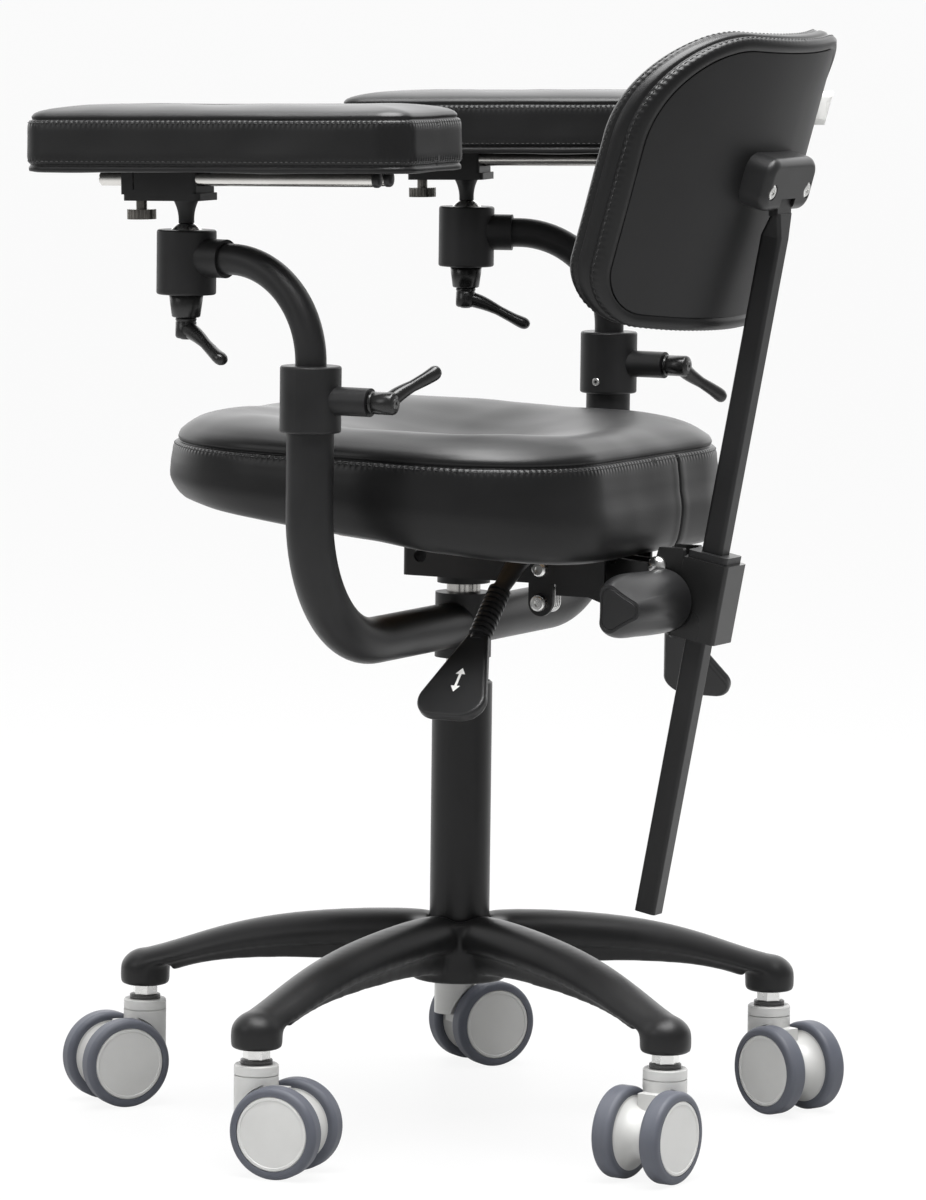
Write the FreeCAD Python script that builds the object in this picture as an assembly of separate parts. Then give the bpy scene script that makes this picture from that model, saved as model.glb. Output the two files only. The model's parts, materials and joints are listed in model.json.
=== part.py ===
import FreeCAD, Part
import math
import os

V = FreeCAD.Vector
X, Y, Z = V(1, 0, 0), V(0, 1, 0), V(0, 0, 1)

# Frame: millimetres, floor at z 0 under the column axis, +X sitter's left, +Y back, +Z up.

# Clearances
FIT = 0.05            # faces of one body, and running fits
SLIDE = 0.10          # sliding fits
GAP = 0.3             # faces that must not touch

# Casters
WHEEL_R = 37.5
WHEEL_W = 17.5
WHEEL_OUTER = 31.0    # outer face from the middle plane
HUB_R = 30.4
HUB_RECESS_R = 27.6
HUB_RECESS = 0.5
TYRE_ROUND = 4.5
AXLE_R = 4.0
TRAIL = 26.5
SPOOL_END_R = 29.0
SPOOL_WAIST_R = 19.0
NECK_R = 18.0
NECK_Z = 46.0
CAP_Z = 79.0
CAP_GROOVE = 1.0
SEAL_R = 12.5
SEAL_H = 3.7
FORK_TOP = 88.0
ARCH_GAP = 1.5
STEM_PIN_R = 5.0
STEM_PIN_Z = 58.0
STEM_HEX = 19.0

# Star base
LEGS = 5
LEG_PHASE = 64.0
STEM_CIRCLE_R = 279.0
BOSS_R = 21.0
BOSS_Z = 100.0
BOSS_SIDE_Z = 117.5
BOSS_TOP_Z = 131.5
SOCKET_R = 5.5
SOCKET_TOP_Z = 122.0
HUB_BASE_R = 40.0
HUB_BASE_Z = 122.0
HUB_TOP_Z = 174.0
CAP_ARC = 17.0
# share of the stem circle's radius, half width, cap edge height, crest height
LEG_CAP = [(0.043, 23, 148, 176.5), (0.305, 23, 149, 176.5), (0.52, 22.5, 144, 169.5),
           (0.746, 22, 133.5, 155), (0.878, 21.5, 123.5, 142.5), (0.989, 20, 115, 132.5)]
# share of the stem circle's radius, half width, bottom height, height buried in the cap
LEG_WEB = [(0.05, 15.0, 124, 158), (0.455, 15.0, 133, 156), (0.67, 15.0, 129, 147),
           (0.785, 14.5, 124, 139), (0.903, 14.0, 114, 128)]
CASTER_HEADINGS = [354.3, 67.3, 145.4, 322.6, 95.9]

# Column and gas spring
COLUMN_R = 25.0
COLUMN_WALL = 2.0
COLUMN_Z = 124.0
COLUMN_TOP = 373.0
COLUMN_FLOOR = 5.0
COLUMN_CHAMFER = 1.5
GUIDE_LENGTH = 70.0
GAS_R = 14.0
GAS_WALL = 2.0
GAS_Z = 185.0
GAS_END = 15.0
GAS_TOP = 492.0
GAS_CAP = 20.0
ROD_R = 5.0
PISTON_Z = 362.0
PISTON_H = 12.0

# Mechanism housing
HOUSE_HALF = 45.0
HOUSE_WALL = 3.0
HOUSE_FRONT = -35.0
HOUSE_REAR = 128.0
HOUSE_Z = 463.0
HOUSE_TOP = 498.0
HOUSE_ROUND = 6.0
CHEEK_REAR = 152.0
CHEEK_Z = 454.0
CHEEK_TOP = 486.0
SOCKET_OUT_R = 22.0
SOCKET_Z = 455.0
SIDE_HOLE = (-17.6, 480.0)
SIDE_HOLE_R = 5.75
LUG_Z = 436.0
LUG_HALF = 11.0

# Backrest carrier, pivot and clutch
PIVOT = (94.0, 475.0)
PIVOT_R = 5.0
PIVOT_HEAD_R = 6.6
PIVOT_HEAD = 5.0
PIVOT_TUBE_R = 10.5
PIVOT_TUBE_HALF = 33.0
CLUTCH = (94.0, 447.0)
CLUTCH_BOLT_R = 5.0
CLUTCH_PLATES = 5
CLUTCH_PLATE = 1.8
CLUTCH_PITCH = 3.2
CLUTCH_INNER = 25.0
CLUTCH_HALF = 9.0
ARM_IN = 12.0
ARM_OUT = 18.0
ARM_END_R = 14.0
HUMP = (184.0, 496.0)
SLEEVE_W = 37.0
SLEEVE_D = 42.0
SLEEVE_L = 66.0
SLEEVE_BORE = 27.0
SLEEVE_SLIT = 3.0
FLANGE_H = 6.0
FLANGE_W = 31.0
KNOB = (194.0, 453.0)
KNOB_STUD_R = 5.0
KNOB_BOSS_R = 14.0
KNOB_START = 22.0
KNOB_BASE_R = 26.0
KNOB_END_R = 21.0
KNOB_CORNER_R = 7.0
KNOB_LENGTH = 86.0

# Backrest stem
STEM = 18.5
STEM_ROUND = 3.0
STEM_LEAN = 10.5
STEM_AXIS = (223.5, 454.0)
STEM_LOW = -266.0     # along the stem from its axis point
STEM_HIGH = 302.5
NECK_W = 26.0
NECK_T = 8.0
NECK_RUN = 20.0
HEAD = (282.8, 795.5)
HEAD_R = 5.5
HEAD_HALF = 26.0

# Backrest
BACK_LEAN = 15.6
BACK_CENTRE = (269.5, 786.0)
BACK_R = 300.0
BACK_T = 27.0
BACK_HALF = 166.0
BACK_LOW = -116.0
BACK_HIGH = 128.0
BACK_TOP_R = 98.0
BACK_BOTTOM_R = 47.0
BACK_EDGE = 10.0
PANEL_INSET = 11.0
PANEL_T = 3.0
BRACKET_W = 88.0
BRACKET_H = 44.0
BRACKET_T = 21.0
BRACKET_ROUND = 14.0
BRACKET_SOFT = 7.0
BRACKET_SCREW_X = 33.0
BRACKET_SCREW_Z = 8.0
BRACKET_SCREW_R = 4.0
BRACKET_HEAD_R = 6.5
SCREW_BITE = 4.5      # screw tip in front of the panel's middle line
ROCK_SLACK = 3.4

# Seat
SEAT_HALF = 213.0
SEAT_FRONT = -219.0
SEAT_REAR = 177.0
SEAT_FRONT_R = 140.0
SEAT_REAR_R = 120.0
# height at the middle, tilt in degrees, inset
SEAT_RINGS = [(507, 6.2, 22), (512, 5.6, 8), (532, 3.4, 1), (556, 1.6, 2), (571.5, 1.0, 6),
              (581.5, 1.3, 14), (588.5, 1.5, 28), (592, 1.6, 46)]
SEAT_CREST = 592.0
DISH_R = 150.0
DISH_DEPTH = 20.0
BOARD_HALF = 105.0
BOARD_FRONT = -75.0
BOARD_REAR = 129.0
BOARD_ROUND = 30.0
BOARD_T = 10.0

# Levers: path of the neck in the plane of the lever
LIFT_Y = 81.0
TILT_Y = 135.0
LIFT_PATH = [(58, 484), (92, 461), (128, 426)]
TILT_PATH = [(58, 478), (92, 452), (126, 413)]
LEVER_ROOT_X = 34.0
SHANK_R = 6.0
COLLAR_R = 9.0
RIB_R = 9.4
RIB_CORE_R = 6.8
RIBS = 10
PADDLE_L = 84.0
PADDLE_TURN = 46.0
PADDLE_NECK = 9.0
PADDLE_HALF = 30.0
PADDLE_CORNER = 18.0
PADDLE_T = 9.0
PADDLE_ROUND = 3.0

# Arm bow and clamps
BOW_HALF = 268.0
BOW_Z = 421.0
BOW_R = 19.0
BOW_WALL = 2.5
BOW_BEND = 112.0
BOW_TOP = 612.0
COLLAR_OUT_R = 23.5
COLLAR_Z = 393.0
COLLAR_TOP = 447.0
CLAMP_R = 24.5
CLAMP_Z = 597.0
CLAMP_TOP = 650.0
CLAMP_BOSS_R = 11.4
CLAMP_BOSS_Y = 54.0
CLAMP_BOSS_Z = 623.0
CLAMP_HOLE_R = 4.0
CLAMP_ROUND = 2.0

# Arms
TUBE_R = 12.5
TUBE_WALL = 2.0
TUBE_Z = 521.0
TUBE_BEND = 79.0
TUBE_TANGENT_Z = 652.0
ARM_REACH = 125.0
GLIDE_Z = 534.0
GLIDE_H = 24.0
HOUSING_R = 24.0
HOUSING_Z = 701.0
HOUSING_TOP = 753.0
HOUSING_ROUND = 2.0
HOUSING_BOSS_R = 15.5
HOUSING_BOSS = 40.0
BALL_R = 15.0
BALL_Z = 744.5
BALL_LEVER_R = 5.0
STUD_FOOT_R = 6.4
STUD_WAIST_R = 6.9
STUD_TOP_R = 10.0
STUD_TOP_Z = 776.0
STUD_PIN_R = 5.0
STUD_PIN_H = 5.0
PLATE_T = 6.0
CARRIAGE_W = 37.0
CARRIAGE_FRONT = -50.0
CARRIAGE_REAR = 20.0
CARRIAGE_TOP = 799.0
CARRIAGE_STEP = -38.0
RODS_X = 11.0
PAD_ROD_R = 6.0
PAD_ROD_Z = 794.0
PAD_ROD_L = 244.0
PAD_HALF = 65.0
PAD_L = 339.0
PAD_CORNER = 38.0
# height, inset
PAD_RINGS = [(800.3, 7), (806, 1.5), (820, 0), (832, 0.5), (838, 3), (844, 9), (849, 21), (852, 38), (853, 52)]
SCREW_AHEAD = 40.0
SCREW_R = 4.4
SCREW_HEAD_R = 11.7
SCREW_HEAD_Z = 761.0
SCREW_HEAD_H = 8.0
SCREW_KNURLS = 24

# Rest pose of each arm: side, lift, swing, pad heading, pad centre behind the ball, clamp and ball handle angles
ARMS = [("left", 1, 0.0, -7.8, 3.3, 52.0, -149.0, 63.0), ("right", -1, 3.0, 21.6, 9.9, 70.0, -217.0, 117.0)]
PAD_PITCH = 1.3


def cyl(r, h, base, axis=Z):
    return Part.makeCylinder(r, h, base, axis)


def cone(r1, r2, h, base, axis=Z):
    return Part.makeCone(r1, r2, h, base, axis)


def box(x0, x1, y0, y1, z0, z1):
    return Part.makeBox(x1 - x0, y1 - y0, z1 - z0, V(x0, y0, z0))


def turned(shape, angle, axis=Z, centre=V(0, 0, 0)):
    out = shape.copy()
    out.rotate(centre, axis, angle)
    return out


def moved(shape, x, y, z):
    out = shape.copy()
    out.translate(V(x, y, z))
    return out


def arc(a, b, c):
    return Part.Arc(a, b, c).toShape()


def line(a, b):
    return Part.LineSegment(a, b).toShape()


def edges_along(shape, axis):
    found = []
    for e in shape.Edges:
        if e.Curve.TypeId == "Part::GeomLine" and abs(abs(e.tangentAt(e.FirstParameter).dot(axis)) - 1) < 1e-6:
            found.append(e)
    return found


def rounded(shape, axis, r):
    return shape.makeFillet(r, edges_along(shape, axis))


def outline(half, y0, y1, r0, r1, z):
    # rounded rectangle, r0 at the low-y corners and r1 at the high-y corners
    d0, d1 = r0 * math.sqrt(0.5), r1 * math.sqrt(0.5)
    xa, xb = half - r0, half - r1
    ya, yb = y0 + r0, y1 - r1
    p = [V(-xa, y0, z), V(xa, y0, z), V(half, ya, z), V(half, yb, z),
         V(xb, y1, z), V(-xb, y1, z), V(-half, yb, z), V(-half, ya, z)]
    mids = [V(xa + d0, ya - d0, z), V(xb + d1, yb + d1, z), V(-xb - d1, yb + d1, z), V(-xa - d0, ya - d0, z)]
    parts = []
    for i in range(4):
        parts.append(line(p[2 * i], p[2 * i + 1]))
        parts.append(arc(p[2 * i + 1], mids[i], p[(2 * i + 2) % 8]))
    return Part.Wire(parts)


def loft(wires):
    return Part.makeLoft(wires, True, False)


def revolve(parts, base, axis):
    return Part.Face(Part.Wire(parts)).revolve(base, axis, 360)


def pipe(path, r, start, direction):
    ring = Part.Wire(Part.Circle(start, direction, r).toShape())
    return Part.Wire(path).makePipeShell([ring], True, False)


def hexagon(across, h, base):
    r = across / math.sqrt(3)
    pts = [V(r * math.cos(math.radians(60 * i)), r * math.sin(math.radians(60 * i)), 0) for i in range(7)]
    return moved(Part.Face(Part.makePolygon(pts)).extrude(V(0, 0, h)), base.x, base.y, base.z)


def save(name, shapes):
    solids = []
    for s in shapes:
        solids.extend(s.Solids)
    for s in solids:
        if not s.isValid():
            print("not valid:", name)
    shape = solids[0] if len(solids) == 1 else Part.makeCompound(solids)
    shape.exportStep("parts/" + name + ".step")
    print(name, len(solids), round(shape.Volume / 1000, 1))


# Star base

def leg_cap(share, half, edge, crest):
    r = share * STEM_CIRCLE_R
    side = crest - CAP_ARC
    a, b, c, d = V(r, half, edge), V(r, half, side), V(r, -half, side), V(r, -half, edge)
    return Part.Wire([line(a, b), arc(b, V(r, 0, crest), c), line(c, d), line(d, a)])


def leg_web(share, half, low, high):
    r = share * STEM_CIRCLE_R
    pts = [V(r, half, low), V(r, half, high), V(r, -half, high), V(r, -half, low), V(r, half, low)]
    return Part.makePolygon(pts)


def boss():
    low, side = V(BOSS_R, 0, BOSS_Z), V(BOSS_R, 0, BOSS_SIDE_Z)
    foot, top = V(0, 0, BOSS_Z), V(0, 0, BOSS_TOP_Z)
    rise = BOSS_TOP_Z - BOSS_SIDE_Z
    r = (BOSS_R ** 2 + rise ** 2) / (2 * rise)
    a = 0.5 * math.asin(BOSS_R / r)
    mid = V(r * math.sin(a), 0, BOSS_TOP_Z - r + r * math.cos(a))
    dome = revolve([line(foot, low), line(low, side), arc(side, mid, top), line(top, foot)], V(0, 0, 0), Z)
    return moved(dome, STEM_CIRCLE_R, 0, 0)


def leg_angle(i):
    return LEG_PHASE + 360.0 / LEGS * i


def star_base():
    leg = loft([leg_cap(*s) for s in LEG_CAP])
    leg = leg.fuse(loft([leg_web(*s) for s in LEG_WEB])).fuse(boss())
    leg = leg.cut(cyl(SOCKET_R + FIT, SOCKET_TOP_Z - BOSS_Z + 1, V(STEM_CIRCLE_R, 0, BOSS_Z - 1)))
    body = cyl(HUB_BASE_R, HUB_TOP_Z - HUB_BASE_Z, V(0, 0, HUB_BASE_Z))
    for i in range(LEGS):
        body = body.fuse(turned(leg, leg_angle(i)))
    bore = cyl(COLUMN_R + FIT, 2 * HUB_TOP_Z, V(0, 0, HUB_BASE_Z - 1))
    save("star_base", [body.cut(bore)])


def caster_stems():
    hex_z = FORK_TOP + SEAL_H + GAP
    pin = cyl(STEM_PIN_R, hex_z - STEM_PIN_Z + 1, V(0, 0, STEM_PIN_Z))
    head = hexagon(STEM_HEX, BOSS_Z - hex_z, V(0, 0, hex_z))
    spigot = cyl(SOCKET_R, SOCKET_TOP_Z - GAP - hex_z, V(0, 0, hex_z))
    one = moved(pin.fuse(head).fuse(spigot), STEM_CIRCLE_R, 0, 0)
    save("caster_stems", [turned(one, leg_angle(i)) for i in range(LEGS)])


# Casters, in a local frame: stem axis at the origin, trail along +X, axle along Y

def ring_profile(pts):
    wire = [line(pts[i], pts[(i + 1) % len(pts)]) for i in range(len(pts))]
    return revolve(wire, V(TRAIL, 0, WHEEL_R), Y)


def at(v, r):
    return V(TRAIL, v, WHEEL_R + r)


def spool():
    inner = WHEEL_OUTER - WHEEL_W - GAP
    a, b, c, d = at(-inner, 0), at(-inner, SPOOL_END_R), at(inner, SPOOL_END_R), at(inner, 0)
    return revolve([line(a, b), arc(b, at(0, SPOOL_WAIST_R), c), line(c, d), line(d, a)], V(TRAIL, 0, WHEEL_R), Y)


def fork():
    neck = cyl(NECK_R, CAP_Z - NECK_Z, V(0, 0, NECK_Z))
    neck = neck.fuse(cyl(NECK_R - CAP_GROOVE, FORK_TOP - CAP_Z, V(0, 0, CAP_Z)))
    cap = cyl(NECK_R, FORK_TOP - CAP_Z - CAP_GROOVE, V(0, 0, CAP_Z + CAP_GROOVE))
    cap = cap.makeChamfer(1.0, [max(cap.Edges, key=lambda e: e.CenterOfMass.z)])
    body = neck.fuse(cap).fuse(cyl(SEAL_R, SEAL_H + 1, V(0, 0, FORK_TOP - 1)))
    inner = WHEEL_OUTER - WHEEL_W - GAP
    for side in (1, -1):
        body = body.cut(cyl(WHEEL_R + ARCH_GAP, 30, V(TRAIL, side * inner, WHEEL_R), V(0, side, 0)))
    web = box(-4, TRAIL, 4 - inner, inner - 4, WHEEL_R, 70)
    body = body.fuse(web).fuse(spool())
    body = body.cut(cyl(STEM_PIN_R + SLIDE, 60, V(0, 0, STEM_PIN_Z - GAP)))
    return body.cut(cyl(AXLE_R, 80, V(TRAIL, -40, WHEEL_R), Y))


def wheel_hub():
    v0, v1 = WHEEL_OUTER - WHEEL_W, WHEEL_OUTER
    pts = [at(v0, AXLE_R + FIT), at(v0, HUB_R), at(v1 - 1, HUB_R), at(v1, HUB_R - 1), at(v1, HUB_RECESS_R),
           at(v1 - HUB_RECESS, HUB_RECESS_R - HUB_RECESS), at(v1 - HUB_RECESS, 0), at(v1 - 2.5, 0),
           at(v1 - 2.5, AXLE_R + FIT)]
    return ring_profile(pts)


def tyre():
    v0, v1 = WHEEL_OUTER - WHEEL_W, WHEEL_OUTER
    r0 = HUB_R + FIT
    pts = [at(v0, r0), at(v0, WHEEL_R), at(v1, WHEEL_R), at(v1, r0)]
    ring = ring_profile(pts)
    rims = [e for e in ring.Edges if e.Curve.TypeId == "Part::GeomCircle" and abs(e.Curve.Radius - WHEEL_R) < 0.01]
    return ring.makeFillet(TYRE_ROUND, rims)


def both_sides(shape):
    return [shape, shape.mirror(V(0, 0, 0), Y)]


def casters():
    axle = cyl(AXLE_R, 2 * (WHEEL_OUTER - 3), V(TRAIL, 3 - WHEEL_OUTER, WHEEL_R), Y)
    sets = {"fork": [fork(), axle], "hubs": both_sides(wheel_hub()), "tyres": both_sides(tyre())}
    for i in range(LEGS):
        a = math.radians(leg_angle(i))
        x, y = STEM_CIRCLE_R * math.cos(a), STEM_CIRCLE_R * math.sin(a)
        for kind, shapes in sets.items():
            placed = [moved(turned(s, CASTER_HEADINGS[i]), x, y, 0) for s in shapes]
            save("caster_%d_%s" % (i + 1, kind), placed)


# Column and gas spring

def column():
    tube = cyl(COLUMN_R, COLUMN_TOP - COLUMN_Z, V(0, 0, COLUMN_Z))
    tube = tube.makeChamfer(COLUMN_CHAMFER, [max(tube.Edges, key=lambda e: e.CenterOfMass.z)])
    inner = COLUMN_R - COLUMN_WALL
    tube = tube.cut(cyl(inner, COLUMN_TOP - COLUMN_Z, V(0, 0, COLUMN_Z + COLUMN_FLOOR)))
    tube = tube.cut(cyl(ROD_R + FIT, 50, V(0, 0, COLUMN_Z - 1)))
    save("column_tube", [tube])
    low = COLUMN_TOP - COLUMN_CHAMFER - GUIDE_LENGTH
    guide = cyl(inner - FIT, GUIDE_LENGTH, V(0, 0, low)).cut(cyl(GAS_R + SLIDE, GUIDE_LENGTH + 2, V(0, 0, low - 1)))
    save("column_guide", [guide])


def gas_spring():
    outer = cyl(GAS_R, GAS_TOP - GAS_Z, V(0, 0, GAS_Z))
    inner_r = GAS_R - GAS_WALL
    bore = cyl(inner_r, GAS_TOP - GAS_CAP - GAS_Z - GAS_END, V(0, 0, GAS_Z + GAS_END))
    save("gas_cylinder", [outer.cut(bore).cut(cyl(ROD_R + SLIDE, GAS_END + 2, V(0, 0, GAS_Z - 1)))])
    rod = cyl(ROD_R, PISTON_Z - COLUMN_Z + 1, V(0, 0, COLUMN_Z))
    shoulder = cyl(ROD_R + 3, 4, V(0, 0, COLUMN_Z + COLUMN_FLOOR + GAP))
    piston = cyl(inner_r - SLIDE, PISTON_H, V(0, 0, PISTON_Z))
    save("piston_rod", [rod.fuse(shoulder).fuse(piston)])


# Mechanism

def lever_holes():
    return [(LIFT_Y, LIFT_PATH[0][1], 1), (TILT_Y, TILT_PATH[0][1], -1)]


def housing():
    body = box(-HOUSE_HALF, HOUSE_HALF, HOUSE_FRONT, HOUSE_REAR, HOUSE_Z, HOUSE_TOP)
    body = rounded(body, Z, HOUSE_ROUND)
    inner = HOUSE_HALF - HOUSE_WALL
    body = body.cut(box(-inner, inner, HOUSE_FRONT + HOUSE_WALL, HOUSE_REAR + 1, HOUSE_Z - 1, HOUSE_TOP - HOUSE_WALL))
    for side in (1, -1):
        x0, x1 = sorted((side * inner, side * HOUSE_HALF))
        body = body.fuse(box(x0, x1, HOUSE_REAR - 20, CHEEK_REAR, CHEEK_Z, CHEEK_TOP))
    lug = box(inner, HOUSE_HALF, CLUTCH[0] - LUG_HALF, CLUTCH[0] + LUG_HALF, CLUTCH[1], HOUSE_Z + 8)
    body = body.fuse(lug).fuse(cyl(LUG_HALF, HOUSE_WALL, V(inner, CLUTCH[0], CLUTCH[1]), X))
    body = body.fuse(cyl(SOCKET_OUT_R, HOUSE_TOP - 1 - SOCKET_Z, V(0, 0, SOCKET_Z)))
    body = body.cut(cyl(GAS_R + FIT, GAS_TOP + FIT - SOCKET_Z + 1, V(0, 0, SOCKET_Z - 1)))
    for x in (-HOUSE_HALF - 1, inner - 1):
        body = body.cut(cyl(SIDE_HOLE_R, HOUSE_WALL + 2, V(x, SIDE_HOLE[0], SIDE_HOLE[1]), X))
    body = body.cut(cyl(PIVOT_R + FIT, 4 * HOUSE_HALF, V(-2 * HOUSE_HALF, PIVOT[0], PIVOT[1]), X))
    body = body.cut(cyl(CLUTCH_BOLT_R + FIT, HOUSE_HALF, V(CLUTCH_INNER, CLUTCH[0], CLUTCH[1]), X))
    for y, z, side in lever_holes():
        body = body.cut(cyl(SHANK_R + GAP, HOUSE_HALF, V(side * LEVER_ROOT_X, y, z), V(side, 0, 0)))
    save("mechanism_housing", [body])


def pivot_bolt():
    half = HOUSE_HALF + FIT
    bolt = cyl(PIVOT_R, 2 * half + 2, V(-half - 1, PIVOT[0], PIVOT[1]), X)
    for side in (1, -1):
        head = cyl(PIVOT_HEAD_R, PIVOT_HEAD, V(side * half, PIVOT[0], PIVOT[1]), V(side, 0, 0))
        outer = max(head.Edges, key=lambda e: side * e.CenterOfMass.x)
        bolt = bolt.fuse(head.makeFillet(2.0, [outer]))
    save("tilt_pivot_bolt", [bolt])


def clutch_link(x, t, reach):
    y, z = CLUTCH
    plate = cyl(CLUTCH_HALF, t, V(x, y, z), X)
    return plate.fuse(box(x, x + t, y - CLUTCH_HALF, y + CLUTCH_HALF, z, z + reach))


def clutch():
    y, z = CLUTCH
    half = HOUSE_HALF + FIT
    bolt = cyl(CLUTCH_BOLT_R, half - CLUTCH_INNER + 6, V(CLUTCH_INNER - 5, y, z), X)
    bolt = bolt.fuse(cyl(PIVOT_HEAD_R, PIVOT_HEAD, V(half, y, z), X))
    bolt = bolt.fuse(cyl(PIVOT_HEAD_R, 4, V(CLUTCH_INNER - 5, y, z), X))
    for i in range(CLUTCH_PLATES):
        bolt = bolt.fuse(clutch_link(CLUTCH_INNER + CLUTCH_PITCH * i, CLUTCH_PLATE, 12))
    save("tilt_clutch", [bolt])


# Backrest carrier and stem; the stem frame has its axis along Z through STEM_AXIS

def stem_frame(shape):
    return turned(moved(shape, 0, STEM_AXIS[0], STEM_AXIS[1]), -STEM_LEAN, X, V(0, STEM_AXIS[0], STEM_AXIS[1]))


def square(half_x, half_y, z0, z1, r):
    return rounded(box(-half_x, half_x, -half_y, half_y, z0, z1), Z, r)


def carrier_arm(x):
    low = SLEEVE_L / 2
    a = cyl(ARM_END_R, ARM_OUT - ARM_IN, V(x, PIVOT[0], PIVOT[1]), X)
    y1 = STEM_AXIS[0] - 6
    pts = [V(x, PIVOT[0], PIVOT[1] + ARM_END_R), V(x, HUMP[0], CHEEK_TOP - 4), V(x, HUMP[0] + 4, HUMP[1]),
           V(x, y1 - 8, HUMP[1]), V(x, y1, STEM_AXIS[1]), V(x, y1, STEM_AXIS[1] - low + 16),
           V(x, PIVOT[0] + 60, PIVOT[1] - 34), V(x, PIVOT[0], PIVOT[1] - ARM_END_R),
           V(x, PIVOT[0], PIVOT[1] + ARM_END_R)]
    return a.fuse(Part.Face(Part.makePolygon(pts)).extrude(V(ARM_OUT - ARM_IN, 0, 0)))


def carrier():
    half = SLEEVE_L / 2
    body = stem_frame(square(SLEEVE_W / 2, SLEEVE_D / 2, -half, half, 3))
    body = body.fuse(carrier_arm(ARM_IN)).fuse(carrier_arm(-ARM_OUT))
    body = body.fuse(cyl(PIVOT_TUBE_R, 2 * PIVOT_TUBE_HALF, V(-PIVOT_TUBE_HALF, PIVOT[0], PIVOT[1]), X))
    body = body.cut(stem_frame(square(SLEEVE_BORE / 2, SLEEVE_BORE / 2, -half - 1, half + 1, 2)))
    slit = box(-SLEEVE_SLIT / 2, SLEEVE_SLIT / 2, -SLEEVE_D, 0, -half - 1, half + 1)
    body = body.cut(stem_frame(slit))
    body = body.cut(cyl(PIVOT_R + SLIDE, 4 * HOUSE_HALF, V(-2 * HOUSE_HALF, PIVOT[0], PIVOT[1]), X))
    body = body.cut(cyl(KNOB_STUD_R + SLIDE, 60, V(-30, KNOB[0], KNOB[1]), X))
    save("back_carrier", [body])
    insert = square(SLEEVE_BORE / 2 - FIT, SLEEVE_BORE / 2 - FIT, -half, half + 1, 2)
    insert = insert.fuse(square(FLANGE_W / 2, FLANGE_W / 2 + 2, half + FIT, half + FLANGE_H, 3))
    insert = insert.cut(square(STEM / 2 + SLIDE, STEM / 2 + SLIDE, -half - 1, half + FLANGE_H + 1, STEM_ROUND))
    save("sleeve_insert", [stem_frame(insert)])


def knob_ring(x, r_corner, reach, bulge):
    # three corner arcs joined by three long arcs
    y, z = KNOB
    parts = []
    spread = math.radians(24)

    def p(angle, r):
        return V(x, y + r * math.cos(angle), z + r * math.sin(angle))

    for i in range(3):
        a = math.radians(120 * i)
        b = a + math.radians(60)
        c = a + math.radians(120)
        parts.append(arc(p(a - spread, r_corner), p(a, reach), p(a + spread, r_corner)))
        parts.append(arc(p(a + spread, r_corner), p(b, bulge), p(c - spread, r_corner)))
    return Part.Wire(parts)


def knob():
    x1 = KNOB_START + KNOB_LENGTH
    r = KNOB_BASE_R
    grip = loft([knob_ring(KNOB_START, r, r, r), knob_ring(KNOB_START + 24, r, r, r),
                 knob_ring(x1 - 7, 21.0, 24.5, 17.0), knob_ring(x1, 18.5, 21.5, 14.5)])
    start = SLEEVE_W / 2 + GAP
    stud = cyl(KNOB_STUD_R, KNOB_START + ARM_OUT, V(-ARM_OUT, KNOB[0], KNOB[1]), X)
    boss_part = cyl(KNOB_BOSS_R, KNOB_START - start + 1, V(start, KNOB[0], KNOB[1]), X)
    save("height_knob", [grip.fuse(boss_part).fuse(stud)])


def ring_square(half_x, y0, y1, z, r):
    return outline(half_x, y0, y1, r, r, z)


def stem():
    half = STEM / 2
    tube = square(half, half, STEM_LOW, STEM_HIGH, STEM_ROUND)
    tube = tube.cut(square(half - 2, half - 2, STEM_LOW - 1, STEM_LOW + 200, STEM_ROUND - 2))
    top = STEM_HIGH + NECK_RUN
    neck = loft([ring_square(half, -half, half, STEM_HIGH, STEM_ROUND),
                 ring_square(NECK_W / 2, half - NECK_T - 3, half - 3, top, STEM_ROUND)])
    body = stem_frame(tube.fuse(neck))
    y, z = HEAD
    blade = box(-NECK_W / 2, NECK_W / 2, y - NECK_T / 2, y + NECK_T / 2, z - 27, z)
    bar = cyl(HEAD_R, 2 * HEAD_HALF, V(-HEAD_HALF, y, z), X)
    save("back_stem", [body.fuse(blade).fuse(bar)])


# Backrest, in a local frame: X across, Y out of the rear face, Z up the slope

def back_frame(shape):
    return turned(moved(shape, 0, BACK_CENTRE[0], BACK_CENTRE[1]), -BACK_LEAN, X, V(0, BACK_CENTRE[0], BACK_CENTRE[1]))


def back_shell(r0, r1):
    low = V(0, -BACK_R, BACK_LOW - 20)
    h = BACK_HIGH - BACK_LOW + 40
    ring = cyl(r1, h, low).cut(cyl(r0, h, low))
    rear = box(-BACK_R * 1.5, BACK_R * 1.5, -BACK_R * 0.5, BACK_R, BACK_LOW - 20, BACK_HIGH + 20)
    return ring.common(rear)


def back_outline(inset):
    wire = outline(BACK_HALF - inset, BACK_LOW + inset, BACK_HIGH - inset, BACK_BOTTOM_R - inset,
                   BACK_TOP_R - inset, 0)
    face = Part.Face(wire)
    face.rotate(V(0, 0, 0), X, 90)
    return moved(face.extrude(V(0, -1.1 * BACK_R, 0)), 0, 0.2 * BACK_R, 0)


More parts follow.
